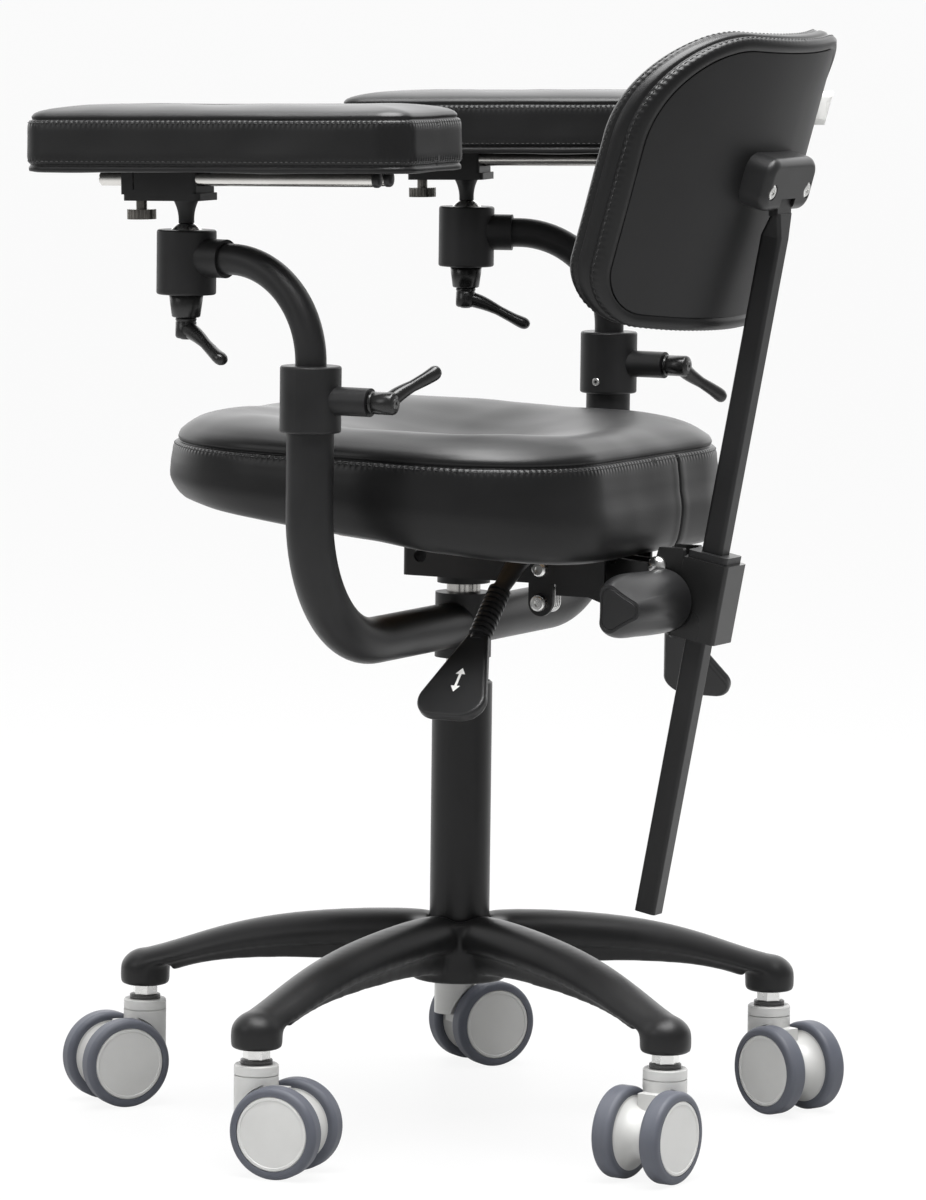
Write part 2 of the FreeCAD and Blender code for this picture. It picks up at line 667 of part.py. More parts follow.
def backrest():
    body = back_shell(BACK_R - BACK_T, BACK_R).common(back_outline(0))
    rims = [e for f in body.Faces for e in f.Edges if f.Surface.TypeId == "Part::GeomCylinder"
            and abs(f.Surface.Axis.dot(Z)) > 0.99 and abs(f.Surface.Radius - BACK_R + BACK_T) < 0.01]
    body = body.makeFillet(BACK_EDGE, rims)
    pocket = back_shell(BACK_R - PANEL_T - GAP, BACK_R + 20).common(back_outline(PANEL_INSET))
    save("backrest_cushion", [back_frame(body.cut(pocket))])
    panel = back_shell(BACK_R - PANEL_T, BACK_R - 0.5).common(back_outline(PANEL_INSET + GAP))
    holes = [cyl(BRACKET_SCREW_R + FIT, 60, V(s * BRACKET_SCREW_X, -30, BRACKET_SCREW_Z), Y) for s in (1, -1)]
    for h in holes:
        panel = panel.cut(h)
    save("backrest_panel", [back_frame(panel)])


def in_back(y, z):
    # chair-frame point to the backrest frame
    a = math.radians(BACK_LEAN)
    dy, dz = y - BACK_CENTRE[0], z - BACK_CENTRE[1]
    return dy * math.cos(a) - dz * math.sin(a), dy * math.sin(a) + dz * math.cos(a)


def bracket():
    hy, hz = in_back(*HEAD)
    half = BRACKET_W / 2
    z0, z1 = hz - BRACKET_H / 2, hz + BRACKET_H / 2
    body = rounded(box(-half, half, -12, BRACKET_T, z0, z1), Y, BRACKET_ROUND)
    rear = [e for e in body.Edges if abs(e.CenterOfMass.y - BRACKET_T) < 0.01]
    body = body.makeFillet(BRACKET_SOFT, rear)
    body = body.cut(cyl(BACK_R - 0.5 + FIT, 200, V(0, -BACK_R, -100)))
    body = body.cut(cyl(HEAD_R + SLIDE, 2 * HEAD_HALF + 1, V(-HEAD_HALF - 0.5, hy, hz), X))
    for s in (1, -1):
        body = body.cut(cyl(BRACKET_SCREW_R + FIT, 80, V(s * BRACKET_SCREW_X, -40, BRACKET_SCREW_Z), Y))
        body = body.cut(cyl(BRACKET_HEAD_R + GAP, 20, V(s * BRACKET_SCREW_X, BRACKET_T - 4, BRACKET_SCREW_Z), Y))
    y, z = HEAD
    slot = NECK_T / 2 + ROCK_SLACK
    blade_room = box(-NECK_W / 2 - GAP, NECK_W / 2 + GAP, y - slot, y + slot, z - BRACKET_H, z)
    save("back_bracket", [back_frame(body).cut(blade_room)])
    screws = []
    for s in (1, -1):
        seat_y = BRACKET_T - 4 + FIT
        shank = cyl(BRACKET_SCREW_R, seat_y + 1 + SCREW_BITE, V(s * BRACKET_SCREW_X, -SCREW_BITE, BRACKET_SCREW_Z), Y)
        head = cyl(BRACKET_HEAD_R, 3, V(s * BRACKET_SCREW_X, seat_y, BRACKET_SCREW_Z), Y)
        screws.append(back_frame(shank.fuse(head)))
    save("bracket_screws", screws)


# Seat

def seat_ring(z, tilt, inset):
    wire = outline(SEAT_HALF - inset, SEAT_FRONT + inset, SEAT_REAR - inset, SEAT_FRONT_R - inset,
                   SEAT_REAR_R - inset, z)
    wire.rotate(V(0, 0, z), X, -tilt)
    return wire


def dish():
    # shallow ball-shaped hollow in the middle of the seat
    r = (DISH_R ** 2 + DISH_DEPTH ** 2) / (2 * DISH_DEPTH)
    return Part.makeSphere(r, V(0, (SEAT_FRONT + SEAT_REAR) / 2, SEAT_CREST - DISH_DEPTH + r))


def board(grow, z0, z1):
    face = Part.Face(outline(BOARD_HALF + grow, BOARD_FRONT - grow, BOARD_REAR + grow, BOARD_ROUND, BOARD_ROUND, z0))
    return face.extrude(V(0, 0, z1 - z0))


def seat():
    z0 = HOUSE_TOP + FIT
    save("seat_board", [board(0, z0, z0 + BOARD_T)])
    body = loft([seat_ring(*r) for r in SEAT_RINGS]).cut(dish())
    save("seat_cushion", [body.cut(board(GAP, z0 - 60, z0 + BOARD_T + FIT))])


# Levers, built on the +X side and mirrored for the other

def lever_shape(y, path):
    (xa, za), (xb, zb), (xc, zc) = path
    b, c = V(xb, y, zb), V(xc, y, zc)
    body = cyl(SHANK_R, xa - LEVER_ROOT_X, V(LEVER_ROOT_X, y, za), X)
    body = body.fuse(cone(SHANK_R, COLLAR_R, 8, V(HOUSE_HALF + 2, y, za), X))
    elbow = V(HOUSE_HALF + 12, y, za)
    body = body.fuse(Part.makeSphere(COLLAR_R + 0.6, elbow))
    body = body.fuse(cone(COLLAR_R, RIB_CORE_R - 0.4, (b - elbow).Length + 3, elbow, b - elbow))
    return body.fuse(ribbed_neck(b, c)).fuse(paddle(y, c))


def ribbed_neck(start, end):
    # one turned solid: a core with square ribs, made along +Z and laid from start to end
    length = (end - start).Length
    step = length / RIBS
    pts = [V(0, 0, -3), V(RIB_CORE_R, 0, -3)]
    for i in range(RIBS):
        z0, z1 = step * (i + 0.2), step * (i + 0.8)
        pts += [V(RIB_CORE_R, 0, z0), V(RIB_R, 0, z0), V(RIB_R, 0, z1), V(RIB_CORE_R, 0, z1)]
    pts += [V(RIB_CORE_R, 0, length + 5), V(0, 0, length + 5)]
    neck = revolve([line(pts[i - 1], pts[i]) for i in range(len(pts))], V(0, 0, 0), Z)
    lean = math.degrees(math.atan2(end.x - start.x, end.z - start.z))
    return moved(turned(neck, lean, Y), start.x, start.y, start.z)


def paddle(y, root):
    # a round-cornered blade that widens from the neck
    n, t, k = PADDLE_NECK, PADDLE_T, PADDLE_L
    r, y1 = PADDLE_CORNER, PADDLE_HALF - PADDLE_CORNER
    lean = math.atan2(y1, k - r)
    reach = math.hypot(k - r, y1 + r - n)
    side = lean + math.asin((r - n * math.cos(lean)) / reach) * 0.5
    top = V(k - r - r * math.sin(side), y1 + r * math.cos(side), 0)
    out = V(k, y1, 0)
    mid_angle = math.radians(45) + side / 2
    mid = V(k - r + r * math.cos(mid_angle), y1 + r * math.sin(mid_angle), 0)

    def flip(p):
        return V(p.x, -p.y, 0)

    parts = [line(V(0, -n, 0), V(0, n, 0)), line(V(0, n, 0), top), arc(top, mid, out), line(out, flip(out)),
             arc(flip(out), flip(mid), flip(top)), line(flip(top), V(0, -n, 0))]
    blade = moved(Part.Face(Part.Wire(parts)).extrude(V(0, 0, t)), 0, 0, -t / 2)
    flat = [e for e in blade.Edges if abs(abs(e.CenterOfMass.z) - t / 2) < 0.01]
    blade = blade.makeFillet(PADDLE_ROUND, flat)
    return moved(turned(blade, PADDLE_TURN, Y), root.x, y, root.z)


def levers():
    save("lift_lever", [lever_shape(LIFT_Y, LIFT_PATH)])
    save("tilt_lever", [lever_shape(TILT_Y, TILT_PATH).mirror(V(0, 0, 0), X)])


# Arm bow and clamps

def bow_pipe(r, top):
    x, z, b = BOW_HALF, BOW_Z, BOW_BEND
    k = b * math.sqrt(0.5)
    path = [line(V(-x, 0, top), V(-x, 0, z + b)), arc(V(-x, 0, z + b), V(-x + b - k, 0, z + b - k), V(b - x, 0, z)),
            line(V(b - x, 0, z), V(x - b, 0, z)), arc(V(x - b, 0, z), V(x - b + k, 0, z + b - k), V(x, 0, z + b)),
            line(V(x, 0, z + b), V(x, 0, top))]
    return pipe(path, r, V(-x, 0, top), Z)


def bow():
    body = bow_pipe(BOW_R, BOW_TOP).cut(bow_pipe(BOW_R - BOW_WALL, BOW_TOP + 1))
    body = body.fuse(cyl(COLLAR_OUT_R, COLLAR_TOP - COLLAR_Z, V(0, 0, COLLAR_Z)))
    save("arm_bow", [body.cut(cyl(GAS_R + FIT, 200, V(0, 0, COLLAR_Z - 50)))])


def clamp(x):
    body = cyl(CLAMP_R, CLAMP_TOP - CLAMP_Z, V(x, 0, CLAMP_Z))
    rims = [e for e in body.Edges if e.Curve.TypeId == "Part::GeomCircle"]
    body = body.makeFillet(CLAMP_ROUND, rims)
    body = body.fuse(cyl(CLAMP_BOSS_R, CLAMP_BOSS_Y - 5, V(x, 5, CLAMP_BOSS_Z), Y))
    body = body.cut(cyl(BOW_R + FIT, BOW_TOP + FIT - CLAMP_Z + 1, V(x, 0, CLAMP_Z - 1)))
    body = body.cut(cyl(TUBE_R + SLIDE, 100, V(x, 0, CLAMP_Z)))
    return body.cut(cyl(CLAMP_HOLE_R + SLIDE, 100, V(x, 0, CLAMP_BOSS_Z), Y))


def hand_lever(r_hub, hub_h, reach, rise):
    # hub along +Z from z 0, handle leaving the hub top along +X and rising
    top = V(0, 0, hub_h - 8)
    tip = V(reach, 0, hub_h - 8 + rise)
    d = tip - top
    body = cyl(r_hub, hub_h, V(0, 0, 0))
    body = body.fuse(cone(6.8, 4.8, d.Length * 0.55, top, d)).fuse(cone(4.8, 6.0, d.Length * 0.45, top + d * 0.55, d))
    return body.fuse(Part.makeSphere(6.1, tip))


def clamp_lever(side, angle):
    grip = hand_lever(9.0, 22.0, 44.0, 22.0)
    stud = cyl(CLAMP_HOLE_R, CLAMP_BOSS_Y - TUBE_R, V(0, 0, TUBE_R + GAP - CLAMP_BOSS_Y))
    body = turned(grip.fuse(stud), angle)
    body = turned(body, -90, X)
    return moved(body, side * BOW_HALF, CLAMP_BOSS_Y + GAP, CLAMP_BOSS_Z)


# Arms, built about the upright axis with the tube running forward, then swung

def arm_tube():
    zt, b = TUBE_TANGENT_Z, TUBE_BEND
    k = b * math.sqrt(0.5)
    end = HOUSING_R - ARM_REACH

    def path(low, tail):
        return [line(V(0, 0, low), V(0, 0, zt)), arc(V(0, 0, zt), V(0, k - b, zt + k), V(0, -b, zt + b)),
                line(V(0, -b, zt + b), V(0, tail, zt + b))]
    outer = pipe(path(TUBE_Z, end), TUBE_R, V(0, 0, TUBE_Z), Z)
    return outer.cut(pipe(path(TUBE_Z - 1, end + 12), TUBE_R - TUBE_WALL, V(0, 0, TUBE_Z - 1), Z))


def ball_housing():
    z = TUBE_TANGENT_Z + TUBE_BEND
    body = cyl(HOUSING_R, HOUSING_TOP - HOUSING_Z, V(0, -ARM_REACH, HOUSING_Z))
    body = body.makeFillet(HOUSING_ROUND, [e for e in body.Edges if e.Curve.TypeId == "Part::GeomCircle"])
    body = body.fuse(cyl(HOUSING_BOSS_R, HOUSING_BOSS, V(0, -ARM_REACH, z), Y))
    body = body.cut(cyl(TUBE_R + FIT, 80, V(0, HOUSING_R - FIT - ARM_REACH, z), Y))
    body = body.cut(Part.makeSphere(BALL_R + FIT, V(0, -ARM_REACH, BALL_Z)))
    return body.cut(cyl(BALL_LEVER_R + SLIDE, 30, V(0, -ARM_REACH, HOUSING_Z - 1)))


def ball_lever(heading):
    grip = turned(hand_lever(8.5, 17.0, 50.0, 21.0), -heading)
    grip = turned(grip, 180, X)
    body = moved(grip, 0, 0, -18 - GAP).fuse(cone(11.0, 13.8, 18, V(0, 0, -18 - GAP)))
    body = body.fuse(cyl(BALL_LEVER_R, 26, V(0, 0, -1 - GAP)))
    return moved(body, 0, 0, HOUSING_Z)


def ball_stud():
    r = BALL_R + GAP
    foot_z = BALL_Z + math.sqrt(r ** 2 - STUD_FOOT_R ** 2)
    mid_r = STUD_FOOT_R * 0.5
    mid_z = BALL_Z + math.sqrt(r ** 2 - mid_r ** 2)
    a, b, c = V(0, 0, BALL_Z + r), V(STUD_FOOT_R, 0, foot_z), V(STUD_TOP_R, 0, STUD_TOP_Z)
    d, e = V(STUD_PIN_R, 0, STUD_TOP_Z), V(STUD_PIN_R, 0, STUD_TOP_Z + STUD_PIN_H)
    f = V(0, 0, STUD_TOP_Z + STUD_PIN_H)
    waist = V(STUD_WAIST_R, 0, (foot_z + STUD_TOP_Z) / 2)
    parts = [arc(a, V(mid_r, 0, mid_z), b), arc(b, waist, c), line(c, d), line(d, e), line(e, f), line(f, a)]
    return revolve(parts, V(0, 0, 0), Z)


def carriage():
    z0 = STUD_TOP_Z + GAP
    w = CARRIAGE_W / 2
    body = rounded(box(-w, w, CARRIAGE_FRONT + 2, CARRIAGE_REAR, z0, z0 + PLATE_T), Z, 4)
    block = rounded(box(-w, w, CARRIAGE_FRONT, CARRIAGE_REAR - 3, z0 + PLATE_T - 1, CARRIAGE_TOP), Z, 3)
    body = body.fuse(block).cut(box(-w - 1, w + 1, CARRIAGE_STEP - 0.5, CARRIAGE_STEP + 0.5, z0 + PLATE_T + 3, CARRIAGE_TOP + 1))
    body = body.cut(cyl(STUD_PIN_R + SLIDE, STUD_PIN_H + GAP, V(0, 0, z0 - GAP)))
    for s in (1, -1):
        body = body.cut(cyl(PAD_ROD_R + SLIDE, 200, V(s * RODS_X, -100, PAD_ROD_Z), Y))
    return body.cut(cyl(SCREW_R + SLIDE, 14, V(0, -SCREW_AHEAD, z0 - 1)))


def thumb_screw():
    y = -SCREW_AHEAD
    top = STUD_TOP_Z + GAP + 12
    head = cyl(SCREW_HEAD_R, SCREW_HEAD_H, V(0, y, SCREW_HEAD_Z))
    for i in range(SCREW_KNURLS):
        a = 2 * math.pi * i / SCREW_KNURLS
        notch = cyl(0.7, 20, V(SCREW_HEAD_R * math.cos(a), y + SCREW_HEAD_R * math.sin(a), SCREW_HEAD_Z - 5))
        head = head.cut(notch)
    return head.fuse(cyl(SCREW_R, top - SCREW_HEAD_Z, V(0, y, SCREW_HEAD_Z)))


def pad_rods(behind):
    y0 = behind - PAD_ROD_L / 2
    rods = []
    for s in (1, -1):
        rod = cyl(PAD_ROD_R, PAD_ROD_L, V(s * RODS_X, y0, PAD_ROD_Z), Y)
        ends = [e for e in rod.Edges if e.Curve.TypeId == "Part::GeomCircle"]
        rods.append(rod.makeChamfer(1.0, ends))
    return rods


def pad_cushion(behind):
    y0, y1 = behind - PAD_L / 2, behind + PAD_L / 2
    rings = []
    for z, inset in PAD_RINGS:
        r = max(PAD_CORNER - inset * 0.6, 6)
        rings.append(outline(PAD_HALF - inset, y0 + inset, y1 - inset, r, r, z))
    return loft(rings)


def arms():
    for name, side, lift, swing, pad_turn, behind, clamp_angle, grip_heading in ARMS:
        def on_arm(s):
            return moved(turned(s, swing), side * BOW_HALF, 0, lift)

        a = math.radians(swing)
        ball = V(side * BOW_HALF + ARM_REACH * math.sin(a), -ARM_REACH * math.cos(a), 0)

        def on_ball(s, turn):
            return moved(turned(s, turn), ball.x, ball.y, lift)

        def on_pad(s):
            return on_ball(turned(s, PAD_PITCH, X, V(0, 0, BALL_Z)), pad_turn)

        glide = cyl(BOW_R - BOW_WALL - SLIDE, GLIDE_H, V(0, 0, GLIDE_Z))
        glide = glide.cut(cyl(TUBE_R + SLIDE, 100, V(0, 0, GLIDE_Z - 1)))
        save(name + "_glide", [on_arm(glide)])
        save(name + "_arm_tube", [on_arm(arm_tube())])
        save(name + "_ball_housing", [on_arm(ball_housing())])
        save(name + "_clamp_lever", [clamp_lever(side, clamp_angle)])
        save(name + "_ball_lever", [on_ball(ball_lever(grip_heading), 0)])
        save(name + "_ball", [on_ball(Part.makeSphere(BALL_R, V(0, 0, BALL_Z)), 0)])
        save(name + "_ball_stud", [on_pad(ball_stud())])
        save(name + "_carriage", [on_pad(carriage())])
        save(name + "_thumb_screw", [on_pad(thumb_screw())])
        save(name + "_pad_rods", [on_pad(r) for r in pad_rods(behind)])
        save(name + "_pad_cushion", [on_pad(pad_cushion(behind))])


os.makedirs("parts", exist_ok=True)
star_base()
caster_stems()
casters()
column()
gas_spring()
housing()
pivot_bolt()
clutch()
carrier()
knob()
stem()
backrest()
bracket()
seat()
levers()
bow()
save("arm_clamps", [clamp(BOW_HALF), clamp(-BOW_HALF)])
arms()
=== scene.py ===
import bisect
import bpy
import json
import math
from mathutils import Matrix, Vector, noise


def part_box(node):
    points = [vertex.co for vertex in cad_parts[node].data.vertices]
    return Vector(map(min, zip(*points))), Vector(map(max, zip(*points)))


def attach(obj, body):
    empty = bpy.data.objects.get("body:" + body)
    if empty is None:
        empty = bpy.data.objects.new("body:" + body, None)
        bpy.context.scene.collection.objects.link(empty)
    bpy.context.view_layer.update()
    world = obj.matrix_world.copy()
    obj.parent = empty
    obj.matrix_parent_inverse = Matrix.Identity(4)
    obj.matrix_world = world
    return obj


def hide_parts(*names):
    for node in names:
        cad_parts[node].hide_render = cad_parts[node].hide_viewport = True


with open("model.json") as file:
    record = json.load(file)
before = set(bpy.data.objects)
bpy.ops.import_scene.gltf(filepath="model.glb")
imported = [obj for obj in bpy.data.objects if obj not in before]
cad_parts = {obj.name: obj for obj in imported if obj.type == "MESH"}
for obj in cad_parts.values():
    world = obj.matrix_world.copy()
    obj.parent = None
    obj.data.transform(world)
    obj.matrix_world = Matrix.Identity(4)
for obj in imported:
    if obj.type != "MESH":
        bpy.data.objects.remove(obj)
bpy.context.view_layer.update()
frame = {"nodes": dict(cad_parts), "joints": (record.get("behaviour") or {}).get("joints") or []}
nodes = frame["nodes"]
joints = {j["name"]: j for j in frame["joints"]}
armSides = ("left", "right")
mm = 0.001
print("frame loaded:", len(nodes), "nodes")

# small mesh helpers


def addPiece(name, verts, faces, material, body, uvs=None, smooth=True):
    mesh = bpy.data.meshes.new(name)
    mesh.from_pydata([tuple(v) for v in verts], [], faces)
    if uvs:
        layer = mesh.uv_layers.new(name="Cover")
        for poly in mesh.polygons:
            for corner, vert in zip(poly.loop_indices, poly.vertices):
                layer.data[corner].uv = uvs[vert]
    mesh.polygons.foreach_set("use_smooth", [smooth] * len(mesh.polygons))
    mesh.materials.append(material)
    obj = bpy.data.objects.new(name, mesh)
    bpy.context.scene.collection.objects.link(obj)
    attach(obj, body)
    return obj


def ringFaces(rows, count, flip=False):
    # quads between closed rings of points, and a cap on each end
    faces = []
    for i in range(rows - 1):
        for k in range(count):
            n = (k + 1) % count
            faces.append((i * count + k, i * count + n, (i + 1) * count + n, (i + 1) * count + k))
    last = (rows - 1) * count
    faces += [tuple(reversed(range(count))), tuple(range(last, last + count))]
    return [tuple(reversed(f)) for f in faces] if flip else faces


def turnedPiece(profile, base, axis, sides=32):
    # profile is (radius, height) pairs along axis from base
    axis = Vector(axis).normalized()
    side = axis.orthogonal().normalized()
    other = axis.cross(side)
    verts = []
    for radius, height in profile:
        for k in range(sides):
            a = 2 * math.pi * k / sides
            verts.append(Vector(base) + axis * height + (side * math.cos(a) + other * math.sin(a)) * radius)
    return verts, ringFaces(len(profile), sides)


def inMetres(profile):
    return [(radius * mm, height * mm) for radius, height in profile]


def joined(parts):
    verts, faces = [], []
    for v, f in parts:
        start = len(verts)
        verts += v
        faces += [tuple(i + start for i in face) for face in f]
    return verts, faces


# shader node groups


def newGroup(name, inputs, outputs):
    group = bpy.data.node_groups.new(name, "ShaderNodeTree")
    for label, kind, value in inputs:
        sock = group.interface.new_socket(label, in_out="INPUT", socket_type=kind)
        if value is not None:
            sock.default_value = value
    for label, kind in outputs:
        group.interface.new_socket(label, in_out="OUTPUT", socket_type=kind)
    return group, group.nodes.new("NodeGroupInput"), group.nodes.new("NodeGroupOutput")


def mathNode(tree, operation, a, b=None):
    node = tree.nodes.new("ShaderNodeMath")
    node.operation = operation
    for socket, value in zip(node.inputs, (a, b)):
        if value is None:
            continue
        if hasattr(value, "is_linked"):
            tree.links.new(value, socket)
        else:
            socket.default_value = value
    return node.outputs[0]


def rangeNode(tree, value, low, high, newLow, newHigh):
    node = tree.nodes.new("ShaderNodeMapRange")
    tree.links.new(value, node.inputs["Value"])
    for label, number in (("From Min", low), ("From Max", high), ("To Min", newLow), ("To Max", newHigh)):
        if hasattr(number, "is_linked"):
            tree.links.new(number, node.inputs[label])
        else:
            node.inputs[label].default_value = number
    return node.outputs[0]


def noiseNode(tree, place, scale, detail=2.0):
    node = tree.nodes.new("ShaderNodeTexNoise")
    tree.links.new(place, node.inputs["Vector"])
    node.inputs["Detail"].default_value = detail
    if hasattr(scale, "is_linked"):
        tree.links.new(scale, node.inputs["Scale"])
    else:
        node.inputs["Scale"].default_value = scale
    return node.outputs["Fac"]


def grainGroup(name, gritLabel, grit):
    return newGroup(name, [("Place", "NodeSocketVector", None), (gritLabel, "NodeSocketFloat", grit)],
                    [("Height", "NodeSocketFloat"), ("Drift", "NodeSocketFloat")])


# drift is the scale and detail of the slow change in tone and gloss
hideGrain = {"cells": 700.0, "fineScale": 2.3, "cellShare": 0.8, "fineShare": 0.35, "drift": (9.0, 3.0)}
coatGrain = {"grit": 1100.0, "detail": 1.0, "drift": (14.0, 4.0)}
turnedGrain = {"grit": 260.0, "detail": 3.0, "stretch": (4.0, 0.25, 4.0), "drift": (60.0, 4.0)}


def makeHideGrain():
    # pebbled cells of a coated cover
    group, entry, out = grainGroup("hideGrain", "Cells", hideGrain["cells"])
    place, size = entry.outputs["Place"], entry.outputs["Cells"]
    cells = group.nodes.new("ShaderNodeTexVoronoi")
    cells.feature = "SMOOTH_F1"
    group.links.new(place, cells.inputs["Vector"])
    group.links.new(size, cells.inputs["Scale"])
    fine = noiseNode(group, place, mathNode(group, "MULTIPLY", size, hideGrain["fineScale"]))
    coarse = mathNode(group, "MULTIPLY", cells.outputs["Distance"], hideGrain["cellShare"])
    mixed = mathNode(group, "ADD", coarse, mathNode(group, "MULTIPLY", fine, hideGrain["fineShare"]))
    group.links.new(mixed, out.inputs["Height"])
    group.links.new(noiseNode(group, place, *hideGrain["drift"]), out.inputs["Drift"])
    return group


def makeCoatGrain():
    # fine orange-peel of sprayed or moulded surfaces
    group, entry, out = grainGroup("coatGrain", "Grit", coatGrain["grit"])
    place, grit = entry.outputs["Place"], entry.outputs["Grit"]
    group.links.new(noiseNode(group, place, grit, coatGrain["detail"]), out.inputs["Height"])
    group.links.new(noiseNode(group, place, *coatGrain["drift"]), out.inputs["Drift"])
    return group


def makeTurnedGrain():
    # long faint scratches left by grinding and handling
    group, entry, out = grainGroup("turnedGrain", "Grit", turnedGrain["grit"])
    place, grit = entry.outputs["Place"], entry.outputs["Grit"]
    stretch = group.nodes.new("ShaderNodeMapping")
    stretch.inputs["Scale"].default_value = turnedGrain["stretch"]
    group.links.new(place, stretch.inputs["Vector"])
    group.links.new(noiseNode(group, stretch.outputs[0], grit, turnedGrain["detail"]), out.inputs["Height"])
    group.links.new(noiseNode(group, place, *turnedGrain["drift"]), out.inputs["Drift"])
    return group


def makeSeamPucker():
    # little pulls that a row of stitches leaves, from lengths along and across the seam
    lengths = (("Along", 0.0), ("Across", 0.0), ("Line", 0.0), ("Pitch", 0.007), ("Reach", 0.005))
    sockets = [(label, "NodeSocketFloat", value) for label, value in lengths]
    group, entry, out = newGroup("seamPucker", sockets, [("Height", "NodeSocketFloat")])
    offset = mathNode(group, "SUBTRACT", entry.outputs["Across"], entry.outputs["Line"])
    away = mathNode(group, "DIVIDE", offset, entry.outputs["Reach"])
    square = mathNode(group, "MULTIPLY", away, away)
    fade = mathNode(group, "EXPONENT", mathNode(group, "MULTIPLY", square, -1.0))
    turn = mathNode(group, "DIVIDE", entry.outputs["Along"], entry.outputs["Pitch"])
    wave = mathNode(group, "COSINE", mathNode(group, "MULTIPLY", turn, 2 * math.pi))
    group.links.new(mathNode(group, "MULTIPLY", fade, wave), out.inputs["Height"])
    return group


grains = {"hide": (makeHideGrain(), "Cells"), "coat": (makeCoatGrain(), "Grit"),
          "turned": (makeTurnedGrain(), "Grit")}
seamPucker = makeSeamPucker()

# materials

finishes = {
    "blackVinyl": {"dark": (0.0036, 0.0036, 0.0038), "pale": (0.006, 0.006, 0.0062), "rough": (0.36, 0.44),
                   "grain": "hide", "grit": 620.0, "height": 0.00003, "specular": 0.26},
    "panelVinyl": {"dark": (0.009, 0.009, 0.0093), "pale": (0.013, 0.013, 0.0134), "rough": (0.42, 0.52),
                   "grain": "hide", "grit": 760.0, "height": 0.00005, "specular": 0.22},
    "threadBlack": {"dark": (0.010, 0.010, 0.010), "pale": (0.030, 0.030, 0.030), "rough": (0.55, 0.7),
                    "grain": "turned", "grit": 900.0, "height": 0.00005, "specular": 0.4},
    "powderBlack": {"dark": (0.009, 0.009, 0.0093), "pale": (0.014, 0.014, 0.0144), "rough": (0.38, 0.47),
                    "grain": "coat", "grit": 1300.0, "height": 0.00007, "specular": 0.22},
    "satinBlack": {"dark": (0.008, 0.008, 0.0083), "pale": (0.012, 0.012, 0.0124), "rough": (0.33, 0.42),
                   "grain": "coat", "grit": 900.0, "height": 0.00002, "specular": 0.24},
    "blackNylon": {"dark": (0.008, 0.008, 0.0083), "pale": (0.013, 0.013, 0.0134), "rough": (0.36, 0.45),
                   "grain": "coat", "grit": 1000.0, "height": 0.00005, "specular": 0.22},
    "blackPlastic": {"dark": (0.009, 0.009, 0.0093), "pale": (0.015, 0.015, 0.0155), "rough": (0.34, 0.44),
                     "grain": "coat", "grit": 1200.0, "height": 0.00004, "specular": 0.3},
    "glossBlack": {"dark": (0.006, 0.006, 0.006), "pale": (0.010, 0.010, 0.010), "rough": (0.24, 0.33),
                   "grain": "coat", "grit": 500.0, "height": 0.00001, "specular": 0.36},
    "chrome": {"dark": (0.70, 0.69, 0.68), "pale": (0.80, 0.79, 0.78), "rough": (0.05, 0.12),
               "metallic": 1.0, "grain": "turned", "grit": 400.0, "height": 0.000004},
    "nickel": {"dark": (0.47, 0.46, 0.44), "pale": (0.52, 0.51, 0.49), "rough": (0.17, 0.23),
               "metallic": 1.0, "grain": "turned", "grit": 300.0, "height": 0.00001},
    "darkNickel": {"dark": (0.12, 0.115, 0.105), "pale": (0.24, 0.23, 0.21), "rough": (0.26, 0.42),
                   "metallic": 1.0, "grain": "turned", "grit": 300.0, "height": 0.00002},
    "zinc": {"dark": (0.56, 0.56, 0.55), "pale": (0.65, 0.65, 0.64), "rough": (0.22, 0.31),
             "metallic": 1.0, "grain": "turned", "grit": 300.0, "height": 0.00002},
    "darkSteel": {"dark": (0.10, 0.10, 0.10), "pale": (0.20, 0.20, 0.20), "rough": (0.3, 0.4),
                  "metallic": 1.0, "grain": "turned", "grit": 300.0, "height": 0.00001},
    "casterGrey": {"dark": (0.46, 0.46, 0.45), "pale": (0.52, 0.52, 0.51), "rough": (0.36, 0.46),
                   "grain": "coat", "grit": 700.0, "height": 0.00002, "specular": 0.4},
    "tyreGrey": {"dark": (0.062, 0.067, 0.084), "pale": (0.088, 0.093, 0.111), "rough": (0.5, 0.62),
                 "grain": "coat", "grit": 800.0, "height": 0.00004, "specular": 0.35},
    "guideNylon": {"dark": (0.05, 0.05, 0.05), "pale": (0.07, 0.07, 0.07), "rough": (0.4, 0.5),
                   "grain": "coat", "grit": 900.0, "height": 0.00002},
    "boardWood": {"dark": (0.30, 0.19, 0.10), "pale": (0.45, 0.31, 0.18), "rough": (0.5, 0.65),
                  "grain": "turned", "grit": 60.0, "height": 0.0001},
    "tagCloth": {"dark": (0.72, 0.72, 0.70), "pale": (0.80, 0.80, 0.78), "rough": (0.7, 0.8),
                 "grain": "coat", "grit": 1500.0, "height": 0.00006},
}


# parts of a grain's drift over which tone and gloss change
toneSpan = (0.35, 0.65)
glossSpan = (0.3, 0.7)


